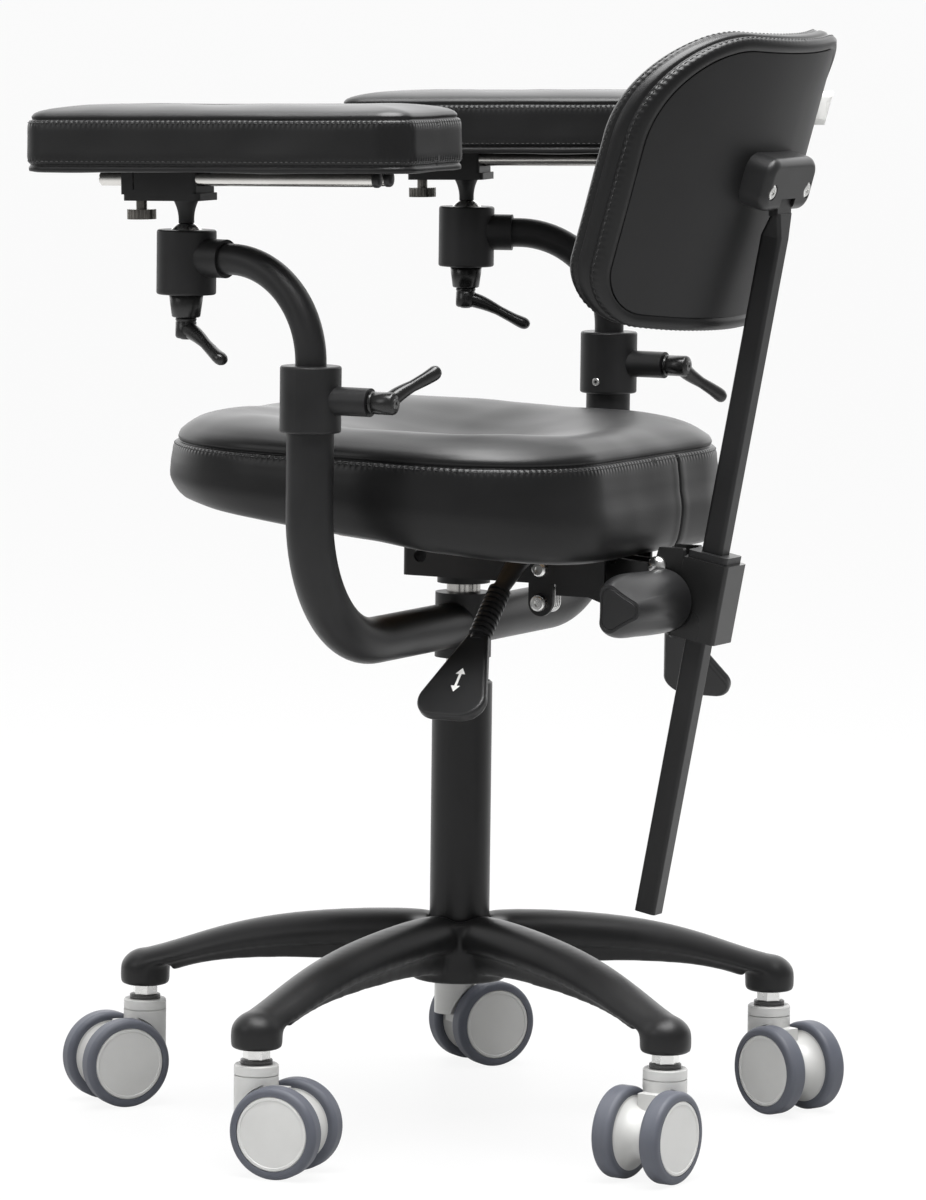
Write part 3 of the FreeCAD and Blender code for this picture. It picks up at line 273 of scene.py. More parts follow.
def makeFinish(name, seams=()):
    look = finishes[name]
    mat = bpy.data.materials.new(name + ("Sewn" if seams else ""))
    mat.use_nodes = True
    tree = mat.node_tree
    shader = tree.nodes["Principled BSDF"]
    shader.inputs["Metallic"].default_value = look.get("metallic", 0.0)
    shader.inputs["Specular IOR Level"].default_value = look.get("specular", 0.5)
    place = tree.nodes.new("ShaderNodeTexCoord").outputs["Object"]
    group, gritLabel = grains[look["grain"]]
    grain = tree.nodes.new("ShaderNodeGroup")
    grain.node_tree = group
    grain.inputs[gritLabel].default_value = look["grit"]
    tree.links.new(place, grain.inputs["Place"])
    tint = tree.nodes.new("ShaderNodeMix")
    tint.data_type = "RGBA"
    tint.inputs[6].default_value = (*look["dark"], 1)
    tint.inputs[7].default_value = (*look["pale"], 1)
    tree.links.new(rangeNode(tree, grain.outputs["Drift"], *toneSpan, 0.0, 1.0), tint.inputs[0])
    tree.links.new(tint.outputs[2], shader.inputs["Base Color"])
    gloss = rangeNode(tree, grain.outputs["Drift"], *glossSpan, *look["rough"])
    tree.links.new(gloss, shader.inputs["Roughness"])
    bump = tree.nodes.new("ShaderNodeBump")
    bump.inputs["Distance"].default_value = look["height"]
    tree.links.new(grain.outputs["Height"], bump.inputs["Height"])
    tree.links.new(bump.outputs[0], shader.inputs["Normal"])
    if seams:
        addPuckers(tree, bump, seams)
    return mat


def addPuckers(tree, bump, seams):
    # a second bump under the grain, one pucker row for each seam
    cover = tree.nodes.new("ShaderNodeUVMap")
    cover.uv_map = "Cover"
    split = tree.nodes.new("ShaderNodeSeparateXYZ")
    tree.links.new(cover.outputs[0], split.inputs[0])
    total = None
    for seam in seams:
        pull = tree.nodes.new("ShaderNodeGroup")
        pull.node_tree = seamPucker
        tree.links.new(split.outputs["X"], pull.inputs["Along"])
        tree.links.new(split.outputs["Y"], pull.inputs["Across"])
        pull.inputs["Line"].default_value = seam["line"]
        pull.inputs["Pitch"].default_value = seam["pitch"]
        pull.inputs["Reach"].default_value = seam["reach"]
        height = mathNode(tree, "MULTIPLY", pull.outputs[0], seam["pull"])
        total = height if total is None else mathNode(tree, "ADD", total, height)
    under = tree.nodes.new("ShaderNodeBump")
    under.inputs["Distance"].default_value = mm
    tree.links.new(total, under.inputs["Height"])
    tree.links.new(under.outputs[0], bump.inputs["Normal"])


mats = {name: makeFinish(name) for name in finishes}
print("materials:", len(mats))

# finish of each hard node, by the words in its name
nodeFinishes = [
    ("star_base", "blackNylon"), ("caster_stems", "zinc"), ("column_tube", "satinBlack"),
    ("column_guide", "guideNylon"), ("gas_cylinder", "nickel"), ("piston_rod", "chrome"),
    ("mechanism_housing", "powderBlack"), ("tilt_pivot_bolt", "zinc"), ("tilt_clutch", "zinc"),
    ("seat_board", "boardWood"), ("arm_bow", "powderBlack"), ("arm_clamps", "powderBlack"),
    ("lift_lever", "blackPlastic"), ("tilt_lever", "blackPlastic"), ("back_carrier", "glossBlack"),
    ("sleeve_insert", "blackPlastic"), ("height_knob", "blackPlastic"), ("back_stem", "satinBlack"),
    ("backrest_panel", "panelVinyl"), ("back_bracket", "blackPlastic"), ("bracket_screws", "zinc"),
    ("glide", "guideNylon"), ("arm_tube", "powderBlack"), ("ball_housing", "powderBlack"),
    ("clamp_lever", "glossBlack"), ("ball_lever", "glossBlack"), ("ball_stud", "powderBlack"),
    ("carriage", "powderBlack"), ("thumb_screw", "darkNickel"), ("pad_rods", "nickel"),
    ("fork", "casterGrey"), ("hubs", "casterGrey"), ("tyres", "tyreGrey"), ("left_ball", "zinc"),
    ("right_ball", "zinc"), ("cushion", "blackVinyl"),
]
for nodeName, node in nodes.items():
    finish = next(f for word, f in nodeFinishes if word in nodeName)
    node.data.materials.clear()
    node.data.materials.append(mats[finish])

# sewn cushions: a closed outline swept by a profile of (inset, rise)

# points between two knots, rows either side of a seam, and the least way from a seam to an even row
knotSteps = 24
seamRows = (-5, -3.6, -2.6, -1.8, -1.1, -0.5, 0, 0.5, 1.1, 1.8, 2.6, 3.6, 5)
seamClear = 5.6
# puff beside a seam, sway of the stuffing, groove and lip of the seat's upright seam, thread
sewing = {"puff": -0.35, "puffAway": 7, "puffWidth": 4.0, "swayAcross": 0.022, "swayUp": 0.03, "groove": 1.5,
          "grooveWidth": 1.3, "lip": 0.5, "thread": 0.36}
# one stitch: share of its half length, and lift in thread radii
threadArc = [(-1, -1), (-0.6, 0.5), (0, 0.8), (0.6, 0.5), (1, -1)]


def outlineRing(half, y0, y1, r0, r1, count, close=()):
    # points round a rounded rectangle from the rear middle, with inward directions; close adds columns
    runs = []

    def straight(x0, ya, x1, yb):
        runs.append(("line", (x0, ya), (x1, yb), math.hypot(x1 - x0, yb - ya)))

    def corner(x, y, r, start):
        runs.append(("arc", (x, y), (r, start), r * math.pi / 2))

    straight(0, y1, half - r1, y1)
    corner(half - r1, y1 - r1, r1, 90)
    straight(half, y1 - r1, half, y0 + r0)
    corner(half - r0, y0 + r0, r0, 0)
    straight(half - r0, y0, r0 - half, y0)
    corner(r0 - half, y0 + r0, r0, -90)
    straight(-half, y0 + r0, -half, y1 - r1)
    corner(r1 - half, y1 - r1, r1, 180)
    straight(r1 - half, y1, 0, y1)
    total = sum(r[3] for r in runs)
    spots = sorted({total * k / count for k in range(count)} | {c % total for c in close})
    ring = []
    for spot in spots:
        s, i = spot, 0
        while s > runs[i][3]:
            s -= runs[i][3]
            i += 1
        kind, a, b, length = runs[i]
        if kind == "line":
            dx, dy = (b[0] - a[0]) / length, (b[1] - a[1]) / length
            ring.append(((a[0] + dx * s, a[1] + dy * s), (dy, -dx)))
        else:
            angle = math.radians(b[1]) - s / b[0]
            c, d = math.cos(angle), math.sin(angle)
            ring.append(((a[0] + b[0] * c, a[1] + b[0] * d), (-c, -d)))
    return ring, spots, total


def smoothProfile(knots):
    # smooth curve through the knots, with the run length to each point
    fine = []
    for i in range(len(knots) - 1):
        a, b, c, d = (knots[max(min(j, len(knots) - 1), 0)] for j in range(i - 1, i + 3))
        for n in range(knotSteps):
            t = n / knotSteps
            fine.append([0.5 * (2 * q + (r - p) * t + (2 * p - 5 * q + 4 * r - s) * t ** 2
                                + (3 * q - p - 3 * r + s) * t ** 3) for p, q, r, s in zip(a, b, c, d)])
    fine.append(list(knots[-1]))
    runs = [0.0]
    for p, q in zip(fine, fine[1:]):
        runs.append(runs[-1] + math.hypot(q[0] - p[0], q[1] - p[1]))
    return fine, runs


def profileAt(profile, s):
    fine, runs = profile
    i = min(max(bisect.bisect_left(runs, s), 1), len(runs) - 1)
    span = max(runs[i] - runs[i - 1], 1e-9)
    t = min(max((s - runs[i - 1]) / span, 0), 1)
    point = [p + (q - p) * t for p, q in zip(fine[i - 1], fine[i])]
    di, dz = fine[i][0] - fine[i - 1][0], fine[i][1] - fine[i - 1][1]
    size = max(math.hypot(di, dz), 1e-9)
    return point, (-dz / size, di / size)


def rowRuns(profile, seamRuns, step):
    # close rows at each seam, wider ones between
    end = profile[1][-1]
    runs = [end * i / max(int(end / step), 1) for i in range(int(end / step) + 1)]
    near = [s + d for s in seamRuns for d in seamRows]
    kept = [r for r in runs if all(abs(r - s) > seamClear for s in seamRuns)]
    return sorted(kept + [n for n in near if 0 < n < end])


def insetPoint(spot, inward, inset, limit, deepest, spine):
    # straight inwards near the edge, then towards the cushion's middle line
    near = min(inset, limit)
    x, y = spot[0] + inward[0] * near, spot[1] + inward[1] * near
    if inset > limit:
        f = min((inset - limit) / (deepest - limit), 1.0)
        cy = min(max(y, spine[0]), spine[1])
        x, y = x * (1 - f), y + (cy - y) * f
    return x, y


def hump(away, width):
    return math.exp(-(away / width) ** 2)


def surfacePoint(cover, k, s, lift=0.0):
    knot, out = profileAt(cover["profile"], s)
    puffAway, puffWidth, seamRuns = sewing["puffAway"], sewing["puffWidth"], cover["seamRuns"]
    sink = sum(depth * hump(s - run, cover["seamWidth"]) for run, depth in seamRuns)
    puff = sum(sewing["puff"] * depth * hump(abs(s - run) - puffAway, puffWidth) for run, depth in seamRuns)
    spot, inward = cover["ring"][k]
    x, y = insetPoint(spot, inward, knot[0], cover["limit"], cover["deepest"], cover["spine"])
    swayAt = Vector((x * sewing["swayAcross"], y * sewing["swayAcross"], knot[1] * sewing["swayUp"]))
    shift = lift - sink - puff + cover["slack"] * noise.noise(swayAt)
    if cover["uprightSeam"] and cover["uprightSeam"][0] < s < cover["uprightSeam"][1]:
        away = abs(cover["spots"][k] - cover["seamSpot"] % cover["around"])
        lip = sewing["lip"] * hump(away - puffAway, puffWidth)
        shift -= sewing["groove"] * hump(away, sewing["grooveWidth"]) - lip
    inset, rise = knot[0] + out[0] * shift, knot[1] + out[1] * shift
    x, y = insetPoint(spot, inward, inset, cover["limit"], cover["deepest"], cover["spine"])
    return cover["place"](x, y, rise, knot[2] if len(knot) > 2 else 0.0)


def sewnCushion(cover, name, body, material):
    rows = rowRuns(cover["profile"], [r for r, d in cover["seamRuns"]], cover["step"])
    count = len(cover["ring"])
    verts, uvs = [], []
    zero = cover["seamRuns"][0][0]
    for s in rows:
        for k in range(count):
            verts.append(surfacePoint(cover, k, s))
            uvs.append((cover["spots"][k] * mm, (s - zero) * mm))
    return addPiece(name, verts, ringFaces(len(rows), count, True), material, body, uvs)


def stitchRow(cover, run, pitch, length, radius):
    # short threads that dive into the cover at both ends
    count = len(cover["ring"])
    number = int(round(cover["around"] / pitch))
    parts = []

    def spot(turn, lift):
        far = (turn % 1.0) * cover["around"]
        k = bisect.bisect_right(cover["spots"], far) - 1
        start = cover["spots"][k]
        end = cover["spots"][k + 1] if k + 1 < count else cover["around"]
        a, b = surfacePoint(cover, k, run, lift), surfacePoint(cover, (k + 1) % count, run, lift)
        return a.lerp(b, (far - start) / (end - start))

    half = 0.5 * length / cover["around"]
    for i in range(number):
        mid = (i + 0.5) / number
        line = [spot(mid + half * along, radius * lift) for along, lift in threadArc]
        parts.append(threadTube(line, radius * mm))
    return joined(parts)


def threadTube(line, radius, sides=5):
    verts = []
    for i, p in enumerate(line):
        along = (line[min(i + 1, len(line) - 1)] - line[max(i - 1, 0)]).normalized()
        side = along.orthogonal().normalized()
        other = along.cross(side)
        for k in range(sides):
            a = 2 * math.pi * k / sides
            verts.append(p + (side * math.cos(a) + other * math.sin(a)) * radius)
    return verts, ringFaces(len(line), sides)


def makeCover(shape, place):
    ring, spots, around = outlineRing(shape["half"], shape["low"], shape["high"], shape["lowCorner"],
                                      shape["highCorner"], shape["columns"], shape.get("closeColumns", ()))
    profile = smoothProfile(shape["knots"])
    reach = shape["high"] - shape["low"]
    slack = max(reach / 2 - shape["half"], 0)
    middle = (shape["high"] + shape["low"]) / 2
    return {"ring": ring, "spots": spots, "around": around, "profile": profile, "place": place,
            "limit": shape["limit"], "slack": shape["slack"], "uprightSeam": shape.get("uprightSeam"),
            "seamSpot": shape.get("seamSpot", 0.0), "deepest": shape["deepest"], "step": shape["step"],
            "spine": (middle - slack, middle + slack), "seamWidth": shape["seamWidth"],
            "seamRuns": [(profile[1][index * knotSteps], depth) for index, depth in shape["seams"]]}


def sewnLeather(shape, lines):
    # vinyl with a row of puckers along each stitch line, given as (run from the first seam, pull)
    pitch, reach = shape["stitchPitch"] * mm, shape["puckerReach"] * mm
    rows = [{"line": line * mm, "pitch": pitch, "reach": reach, "pull": pull} for line, pull in lines]
    return makeFinish("blackVinyl", rows)


def addStitches(cover, shape, lines, name, body):
    first = cover["seamRuns"][0][0]
    verts, faces = joined([stitchRow(cover, first + line, shape["stitchPitch"], shape["stitchLength"],
                                     sewing["thread"]) for line, pull in lines])
    addPiece(name, verts, faces, mats["threadBlack"], body)


# seat: rounded square with a hollow in the middle; knots are inset, height, forward tilt
seatShape = {
    "half": 213.0, "low": -219.0, "high": 177.0, "lowCorner": 140.0, "highCorner": 120.0, "columns": 420,
    "limit": 100.0, "deepest": 214.0, "step": 5.0, "seamWidth": 1.4, "slack": 1.0,
    "closeColumns": (-47.4, -46.6, -45.8, -45, -44.2, -43.4, -42.6), "seamSpot": -45.0,
    "uprightSeam": (192, 259),
    "knots": [(206, 507, 6.2), (120, 507, 6.2), (40, 506.5, 6.2), (22, 507, 6.2), (9, 512, 5.6),
              (1, 531, 3.4), (0.5, 545, 2.3), (2, 558, 1.6), (6, 571.5, 1.0), (12, 580.5, 1.3),
              (25, 588, 1.5), (46, 592.5, 1.6), (75, 594, 1.6), (130, 594.5, 1.6), (208, 594.5, 1.6)],
    "seams": [(8, 2.4)], "hollowFrom": 575, "hollowReach": 178.0, "hollowDepth": 25.0, "hollowMiddle": -16.0,
    "hollowCurve": 0.8, "boardBelow": 512, "boardTop": 508.4, "boardRoom": 4.0,
    "rearBelow": 545, "rearFade": 35, "rearFrom": 60, "rearSpan": 117, "rearReach": 9.0, "rearDrop": 3.0,
    "stitchBelow": 4.2, "stitchPitch": 5.4, "stitchLength": 3.4, "puckerReach": 3.0, "pull": 0.22,
}


def onBoard(x, y):
    low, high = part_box("seat_board")
    room = seatShape["boardRoom"] * mm
    return abs(x) * mm < high.x + room and low.y - room < y * mm < high.y + room


def placeOnSeat(x, y, rise, tilt):
    a = math.radians(tilt)
    if rise < seatShape["rearBelow"] and y > seatShape["rearFrom"]:
        fade = min((seatShape["rearBelow"] - rise) / seatShape["rearFade"], 1)
        rear = fade * ((y - seatShape["rearFrom"]) / seatShape["rearSpan"]) ** 2
        y += seatShape["rearReach"] * rear
        rise -= seatShape["rearDrop"] * rear
    z = rise - y * math.sin(a)
    if rise > seatShape["hollowFrom"]:
        far = math.hypot(x, y - seatShape["hollowMiddle"]) / seatShape["hollowReach"]
        if far < 1:
            z -= seatShape["hollowDepth"] * (0.5 + 0.5 * math.cos(math.pi * far)) ** seatShape["hollowCurve"]
    if rise < seatShape["boardBelow"] and onBoard(x, y):
        z = max(z, seatShape["boardTop"])
    return Vector((x, y * math.cos(a), z)) * mm


def makeSeat():
    cover = makeCover(seatShape, placeOnSeat)
    lines = [(-seatShape["stitchBelow"], seatShape["pull"])]
    seat = sewnCushion(cover, "seatCover", "seat", sewnLeather(seatShape, lines))
    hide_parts("seat_cushion")
    addStitches(cover, seatShape, lines, "seatStitches", "seat")
    print("seat cover: columns", seatShape["columns"])


# arm pads: long cushions with a sewn band; knots are inset and height over the pad's underside
padShape = {
    "half": 65.0, "lowCorner": 24.0, "highCorner": 24.0, "columns": 300, "limit": 18.0, "deepest": 66.0,
    "step": 4.0, "seamWidth": 1.2, "slack": 0.8,
    "knots": [(62, 0.3), (30, 0.2), (5, 0.0), (1.2, 0.9), (0.6, 5.6), (0.1, 13), (0.0, 24), (0.6, 35),
              (2.2, 42.4), (7, 46.8), (17, 50.2), (36, 52.4), (62, 53.2)],
    "seams": [(8, 1.9), (4, 1.5)], "stitchBelow": 3.6, "stitchAbove": 3.0, "stitchPitch": 4.5,
    "stitchLength": 2.9, "puckerReach": 2.7, "pulls": (0.2, 0.14),
}


def padFrame(side):
    # the pad's own axes from the two joints that carry it
    ball = Vector(joints[side + "_pad_turn"]["pos_m"])
    up = Vector(joints[side + "_pad_turn"]["axis"]).normalized()
    back = Vector(joints[side + "_pad_slide"]["axis"]).normalized()
    across = back.cross(up)
    return Matrix((across, back, up)).transposed().to_4x4(), ball


def makePad(side):
    turn, ball = padFrame(side)
    local = turn.inverted()
    spots = [local @ (v.co - ball) for v in nodes[side + "_pad_cushion"].data.vertices]
    low, high = min(p.y for p in spots), max(p.y for p in spots)
    floorZ = min(p.z for p in spots)
    shape = dict(padShape, low=low / mm, high=high / mm)

    def placeOnPad(x, y, rise, tilt):
        return ball + turn @ Vector((x * mm, y * mm, floorZ + rise * mm))

    cover = makeCover(shape, placeOnPad)
    topRun, lowRun = cover["seamRuns"][0][0], cover["seamRuns"][1][0]
    runs = (-padShape["stitchBelow"], lowRun - topRun + padShape["stitchAbove"])
    lines = list(zip(runs, padShape["pulls"]))
    pad = sewnCushion(cover, side + "PadCover", side + "_pad", sewnLeather(shape, lines))
    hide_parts(side + "_pad_cushion")
    addStitches(cover, shape, lines, side + "PadStitches", side + "_pad")
    print(side, "pad cover")


# backrest: curved about an upright axis; knots are inset and depth forward of the rear face
backShape = {
    "half": 166.0, "low": -116.0, "high": 128.0, "lowCorner": 47.0, "highCorner": 98.0, "columns": 400,
    "limit": 44.0, "deepest": 166.0, "step": 4.0, "seamWidth": 1.2, "slack": 0.3,
    "knots": [(11.4, 2.4), (10.6, 0.2), (9.2, -0.5), (4.4, -0.7), (1.1, 0.9), (0.2, 4.0), (0.0, 7.0),
              (-0.4, 11.5), (0.0, 16), (1.2, 20.5), (4.5, 24.5), (11, 28.5), (26, 32), (70, 35), (162, 36.5)],
    "seams": [(6, 1.7), (8, 1.5)], "lean": 15.6, "middle": (269.5, 786.0), "radius": 300.0,
    "stitchPitch": 5.6, "stitchAway": 3.6, "stitchLength": 3.5, "puckerReach": 2.7, "pulls": (0.18, 0.15),
}


def placeOnBack(x, y, rise, tilt):
    depth = math.sqrt((backShape["radius"] - rise) ** 2 - x * x) - backShape["radius"]
    a = math.radians(backShape["lean"])
    my, mz = backShape["middle"]
    across = my + depth * math.cos(a) + y * math.sin(a)
    return Vector((x, across, mz - depth * math.sin(a) + y * math.cos(a))) * mm


seamTag = {"low": 37.0, "tall": 29.0, "out": 21.0, "tucked": 2.5, "thick": 0.5, "curl": 1.5, "belly": 0.3,
           "way": (-0.35, 0.94, 0.0), "rows": 7, "columns": 6}


def makeSeamTag(cover, run):
    # blank cloth tag sewn into the far side seam
    sideSpots = [k for k, (spot, inward) in enumerate(cover["ring"]) if spot[0] < 1 - backShape["half"]]
    foot = min(sideSpots, key=lambda k: abs(cover["ring"][k][0][1] - seamTag["low"]))
    lean = math.radians(backShape["lean"])
    up, way = Vector((0, math.sin(lean), math.cos(lean))), Vector(seamTag["way"]).normalized()
    face = up.cross(way).normalized()
    base = surfacePoint(cover, foot, run) - way * seamTag["tucked"] * mm
    rows, cols, reach = seamTag["rows"], seamTag["columns"], seamTag["out"] + seamTag["tucked"]
    verts, faces = [], []
    for layer in (0.0, seamTag["thick"]):
        for i in range(rows):
            for j in range(cols):
                f, g = i / (rows - 1), j / (cols - 1)
                bow = seamTag["curl"] * (f * f + seamTag["belly"] * math.sin(g * math.pi))
                verts.append(base + (way * reach * f + up * seamTag["tall"] * g + face * (bow + layer)) * mm)
    half = rows * cols
    for i in range(rows - 1):
        for j in range(cols - 1):
            a, b, c, d = i * cols + j, i * cols + j + 1, (i + 1) * cols + j + 1, (i + 1) * cols + j
            faces += [(a, b, c, d), (half + d, half + c, half + b, half + a)]
    edge = list(range(cols)) + [i * cols + cols - 1 for i in range(1, rows)]
    edge += [(rows - 1) * cols + j for j in range(cols - 2, -1, -1)]
    edge += [i * cols for i in range(rows - 2, 0, -1)]
    faces += [(p, half + p, half + q, q) for p, q in zip(edge, edge[1:] + edge[:1])]
    addPiece("seamTag", verts, faces, mats["tagCloth"], "backrest")


def makeBack():
    cover = makeCover(backShape, placeOnBack)
    first, second = cover["seamRuns"][0][0], cover["seamRuns"][1][0]
    runs = (-backShape["stitchAway"], second - first + backShape["stitchAway"])
    lines = list(zip(runs, backShape["pulls"]))
    back = sewnCushion(cover, "backrestCover", "backrest", sewnLeather(backShape, lines))
    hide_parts("backrest_cushion")
    addStitches(cover, backShape, lines, "backrestStitches", "backrest")
    makeSeamTag(cover, first)
    print("backrest cover")


makeSeat()
for side in armSides:
    makePad(side)
makeBack()

# moulded base: the solid's own shape with its corners blended

mouldedBase = {"node": "star_base", "voxel": 1.8, "rounds": 36, "strength": 0.5}


def makeMouldedBase():
    source = nodes[mouldedBase["node"]]
    twin = bpy.data.objects.new("baseTwin", source.data.copy())
    bpy.context.scene.collection.objects.link(twin)
    blend = twin.modifiers.new("blend", "REMESH")
    blend.mode = "VOXEL"
    blend.voxel_size = mouldedBase["voxel"] * mm
    soften = twin.modifiers.new("soften", "SMOOTH")
    soften.factor = mouldedBase["strength"]
    soften.iterations = mouldedBase["rounds"]
    mesh = bpy.data.meshes.new_from_object(twin.evaluated_get(bpy.context.evaluated_depsgraph_get()))
    bpy.data.objects.remove(twin)
    verts = [v.co.copy() for v in mesh.vertices]
    faces = [tuple(f.vertices) for f in mesh.polygons]
    base = addPiece("mouldedBase", verts, faces, mats["blackNylon"], "base")
    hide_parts(mouldedBase["node"])
    print("moulded base: points", len(verts))


makeMouldedBase()

# hand levers: turned hub, swept handle and a socket screw in the hub's end

clampLever = {"out": (0, 1, 0), "start": 0.3, "hub": 9.0, "length": 22.0}
ballLever = {"out": (0, 0, -1), "start": 18.3, "hub": 8.5, "length": 17.0,
             "cone": [(13.2, 0.0), (13.8, 0.6), (11.5, 17.2), (10.4, 18.0)]}
handLevers = [dict(clampLever, node=side + "_clamp_lever", joint=side + "_clamp_turn") for side in armSides]
handLevers += [dict(ballLever, node=side + "_ball_lever", joint=side + "_ball_lock") for side in armSides]
# groove and end step in from the hub; section is share, width and thickness; screw as in socketScrew
leverGrip = {
    "edge": 0.8, "groove": [(0.0, 2.4), (0.5, 2.8), (0.5, 3.3), (0.0, 3.7)],
    "end": [(0.0, 2.2), (0.7, 0.7), (2.2, 0.0)], "rootBack": 7.5, "rootPull": (17, 1.5), "tipPull": (15, 6),
    "tipBack": 6, "steps": 22,
    "section": [(0.0, 7.0, 7.0), (0.25, 6.4, 6.2), (0.55, 4.9, 4.4), (0.8, 5.6, 4.6), (0.94, 6.1, 5.2),
                (1.0, 6.1, 5.3)],
    "tip": [(2.4, 0.92), (4.4, 0.72), (5.6, 0.42), (6.0, 0.12)], "screw": (4.2, 3.0), "screwSunk": 0.2,
}


def sweptTube(path, widths, flats, flatWay, sides=18):
    # oval rings along a path
    verts = []
    for i, p in enumerate(path):
        along = (path[min(i + 1, len(path) - 1)] - path[max(i - 1, 0)]).normalized()
        wide = along.cross(flatWay).normalized()
        thick = wide.cross(along).normalized()
        for k in range(sides):
            a = 2 * math.pi * k / sides
            verts.append(p + wide * math.cos(a) * widths[i] + thick * math.sin(a) * flats[i])
    return verts, ringFaces(len(path), sides, True)


def bezierPoint(a, b, c, d, t):
    u = 1 - t
    return a * u ** 3 + b * 3 * u * u * t + c * 3 * u * t * t + d * t ** 3


def makeHandLever(lever):
    out = Vector(lever["out"])
    pivot = Vector(joints[lever["joint"]]["pos_m"])
    hubStart = pivot + out * lever["start"] * mm
    length, radius = lever["length"] * mm, lever["hub"] * mm
    points = [v.co.copy() for v in nodes[lever["node"]].data.vertices]
    flat = [(p - pivot) - out * (p - pivot).dot(out) for p in points]
    far = max(range(len(points)), key=lambda i: flat[i].length)
    way = flat[far].normalized()
    tip = pivot + way * (flat[far].length - leverGrip["tipBack"] * mm) + out * (points[far] - pivot).dot(out)
    edge = leverGrip["edge"] * mm
    profile = [(radius - edge, 0), (radius, edge)]
    profile += [(radius - step, height) for step, height in inMetres(leverGrip["groove"])]
    profile += [(radius - step, length - height) for step, height in inMetres(leverGrip["end"])]
    hub = turnedPiece(profile, hubStart, out)
    root = hubStart + out * (length - leverGrip["rootBack"] * mm)
    (rootAlong, rootOut), (tipAlong, tipOut) = leverGrip["rootPull"], leverGrip["tipPull"]
    rootPull, tipPull = (way * rootAlong + out * rootOut) * mm, (way * tipAlong + out * tipOut) * mm
    bend = [root, root + rootPull, tip - tipPull, tip]
    shares = [i / leverGrip["steps"] for i in range(leverGrip["steps"] + 1)]
    path = [bezierPoint(*bend, share) for share in shares]
    widths = [readCurve(leverGrip["section"], share, 1) * mm for share in shares]
    flats = [readCurve(leverGrip["section"], share, 2) * mm for share in shares]
    ahead, lastWidth, lastFlat = (path[-1] - path[-2]).normalized(), widths[-1], flats[-1]
    for reach, share in leverGrip["tip"]:
        path.append(tip + ahead * reach * mm)
        widths.append(lastWidth * share)
        flats.append(lastFlat * share)
    parts = [hub, sweptTube(path, widths, flats, out)]
    if "cone" in lever:
        parts.append(turnedPiece(inMetres(lever["cone"]), hubStart - out * lever["cone"][-1][1] * mm, out))
    verts, faces = joined(parts)
    grip = addPiece(lever["node"] + "Grip", verts, faces, mats["glossBlack"], lever["node"])
    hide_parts(lever["node"])
    screwBase = hubStart + out * (length - leverGrip["screwSunk"] * mm)
    verts, faces = socketScrew(screwBase, out, *leverGrip["screw"])
    addPiece(lever["node"] + "Screw", verts, faces, mats["darkSteel"], lever["node"], smooth=False)


def readCurve(table, t, column):
    for a, b in zip(table, table[1:]):
        if t <= b[0]:
            return a[column] + (b[column] - a[column]) * (t - a[0]) / (b[0] - a[0])
    return table[-1][column]


# heights are from the face the head stands on; shoulder and rim are shares of the rise and the radius
socketHead = {"sunk": -0.6, "rise": 1.0, "shoulder": 0.6, "rim": 0.88, "depth": 1.6, "floor": 0.05,
              "sides": 36}


def socketScrew(base, axis, radius, across):
    # low round head with a six-sided socket
    sides, rise = socketHead["sides"], socketHead["rise"]
    bottom = rise - socketHead["depth"]
    axis = Vector(axis).normalized()
    side = axis.orthogonal().normalized()
    other = axis.cross(side)

    def ring(size, height, sixSided):
        pts = []
        for k in range(sides):
            a = 2 * math.pi * k / sides
            r = size
            if sixSided:
                r = size / math.cos((a + math.pi / 6) % (math.pi / 3) - math.pi / 6)
            pts.append(base + axis * height * mm + (side * math.cos(a) + other * math.sin(a)) * r * mm)
        return pts

    rings = [ring(radius, socketHead["sunk"], False), ring(radius, rise * socketHead["shoulder"], False),
             ring(radius * socketHead["rim"], rise, False), ring(across / 2, rise, True),
             ring(across / 2, bottom, True), ring(socketHead["floor"], bottom, False)]
    return [p for r in rings for p in r], ringFaces(len(rings), sides)


for lever in handLevers:
    makeHandLever(lever)
print("hand levers:", len(handLevers))

# screws and bolts; sizes are the head's radius and the width across the socket

endSlack = 0.1
acrossWay = (1, 0, 0)
socketSizes = {"bracketSockets": (5.6, 4.6), "clutchSocket": (5.8, 5.0), "pivotSocket": (5.4, 4.6)}
clampScrew = {"out": 24.2, "height": 607.5, "bow": 268.0, "size": (3.4, 2.6)}


def headCentres(nodeName, axis, split=None):
    # middle of the end face of each solid that points along axis; split tells the solids apart
    axis = Vector(axis).normalized()
    groups = {}
    for v in nodes[nodeName].data.vertices:
        groups.setdefault(split(v.co) if split else 0, []).append(v.co.copy())
    centres = []
    for points in groups.values():
        top = max(p.dot(axis) for p in points)
        face = [p for p in points if p.dot(axis) > top - endSlack * mm]
        low = Vector([min(p[i] for p in face) for i in range(3)])
        high = Vector([max(p[i] for p in face) for i in range(3)])
        centres.append((low + high) / 2)
    return centres


def sideOf(p):
    return p.x > 0


def placeScrews(name, body, axis, centres, size):
    verts, faces = joined([socketScrew(c, axis, *size) for c in centres])
    addPiece(name, verts, faces, mats["zinc"], body, smooth=False)


lean = math.radians(backShape["lean"])
backWay = Vector((0, math.cos(lean), -math.sin(lean)))
bracketSpots = headCentres("bracket_screws", backWay, sideOf)
placeScrews("bracketSockets", "backrest", backWay, bracketSpots, socketSizes["bracketSockets"])
for name, nodeName in (("clutchSocket", "tilt_clutch"), ("pivotSocket", "tilt_pivot_bolt")):
    placeScrews(name, "seat", acrossWay, headCentres(nodeName, acrossWay), socketSizes[name])
for sign, side in zip((1, -1), armSides):
    spot = Vector((sign * (clampScrew["bow"] - clampScrew["out"]), 0, clampScrew["height"])) * mm
    placeScrews(side + "ClampSetScrew", "seat", (-sign, 0, 0), [spot], clampScrew["size"])

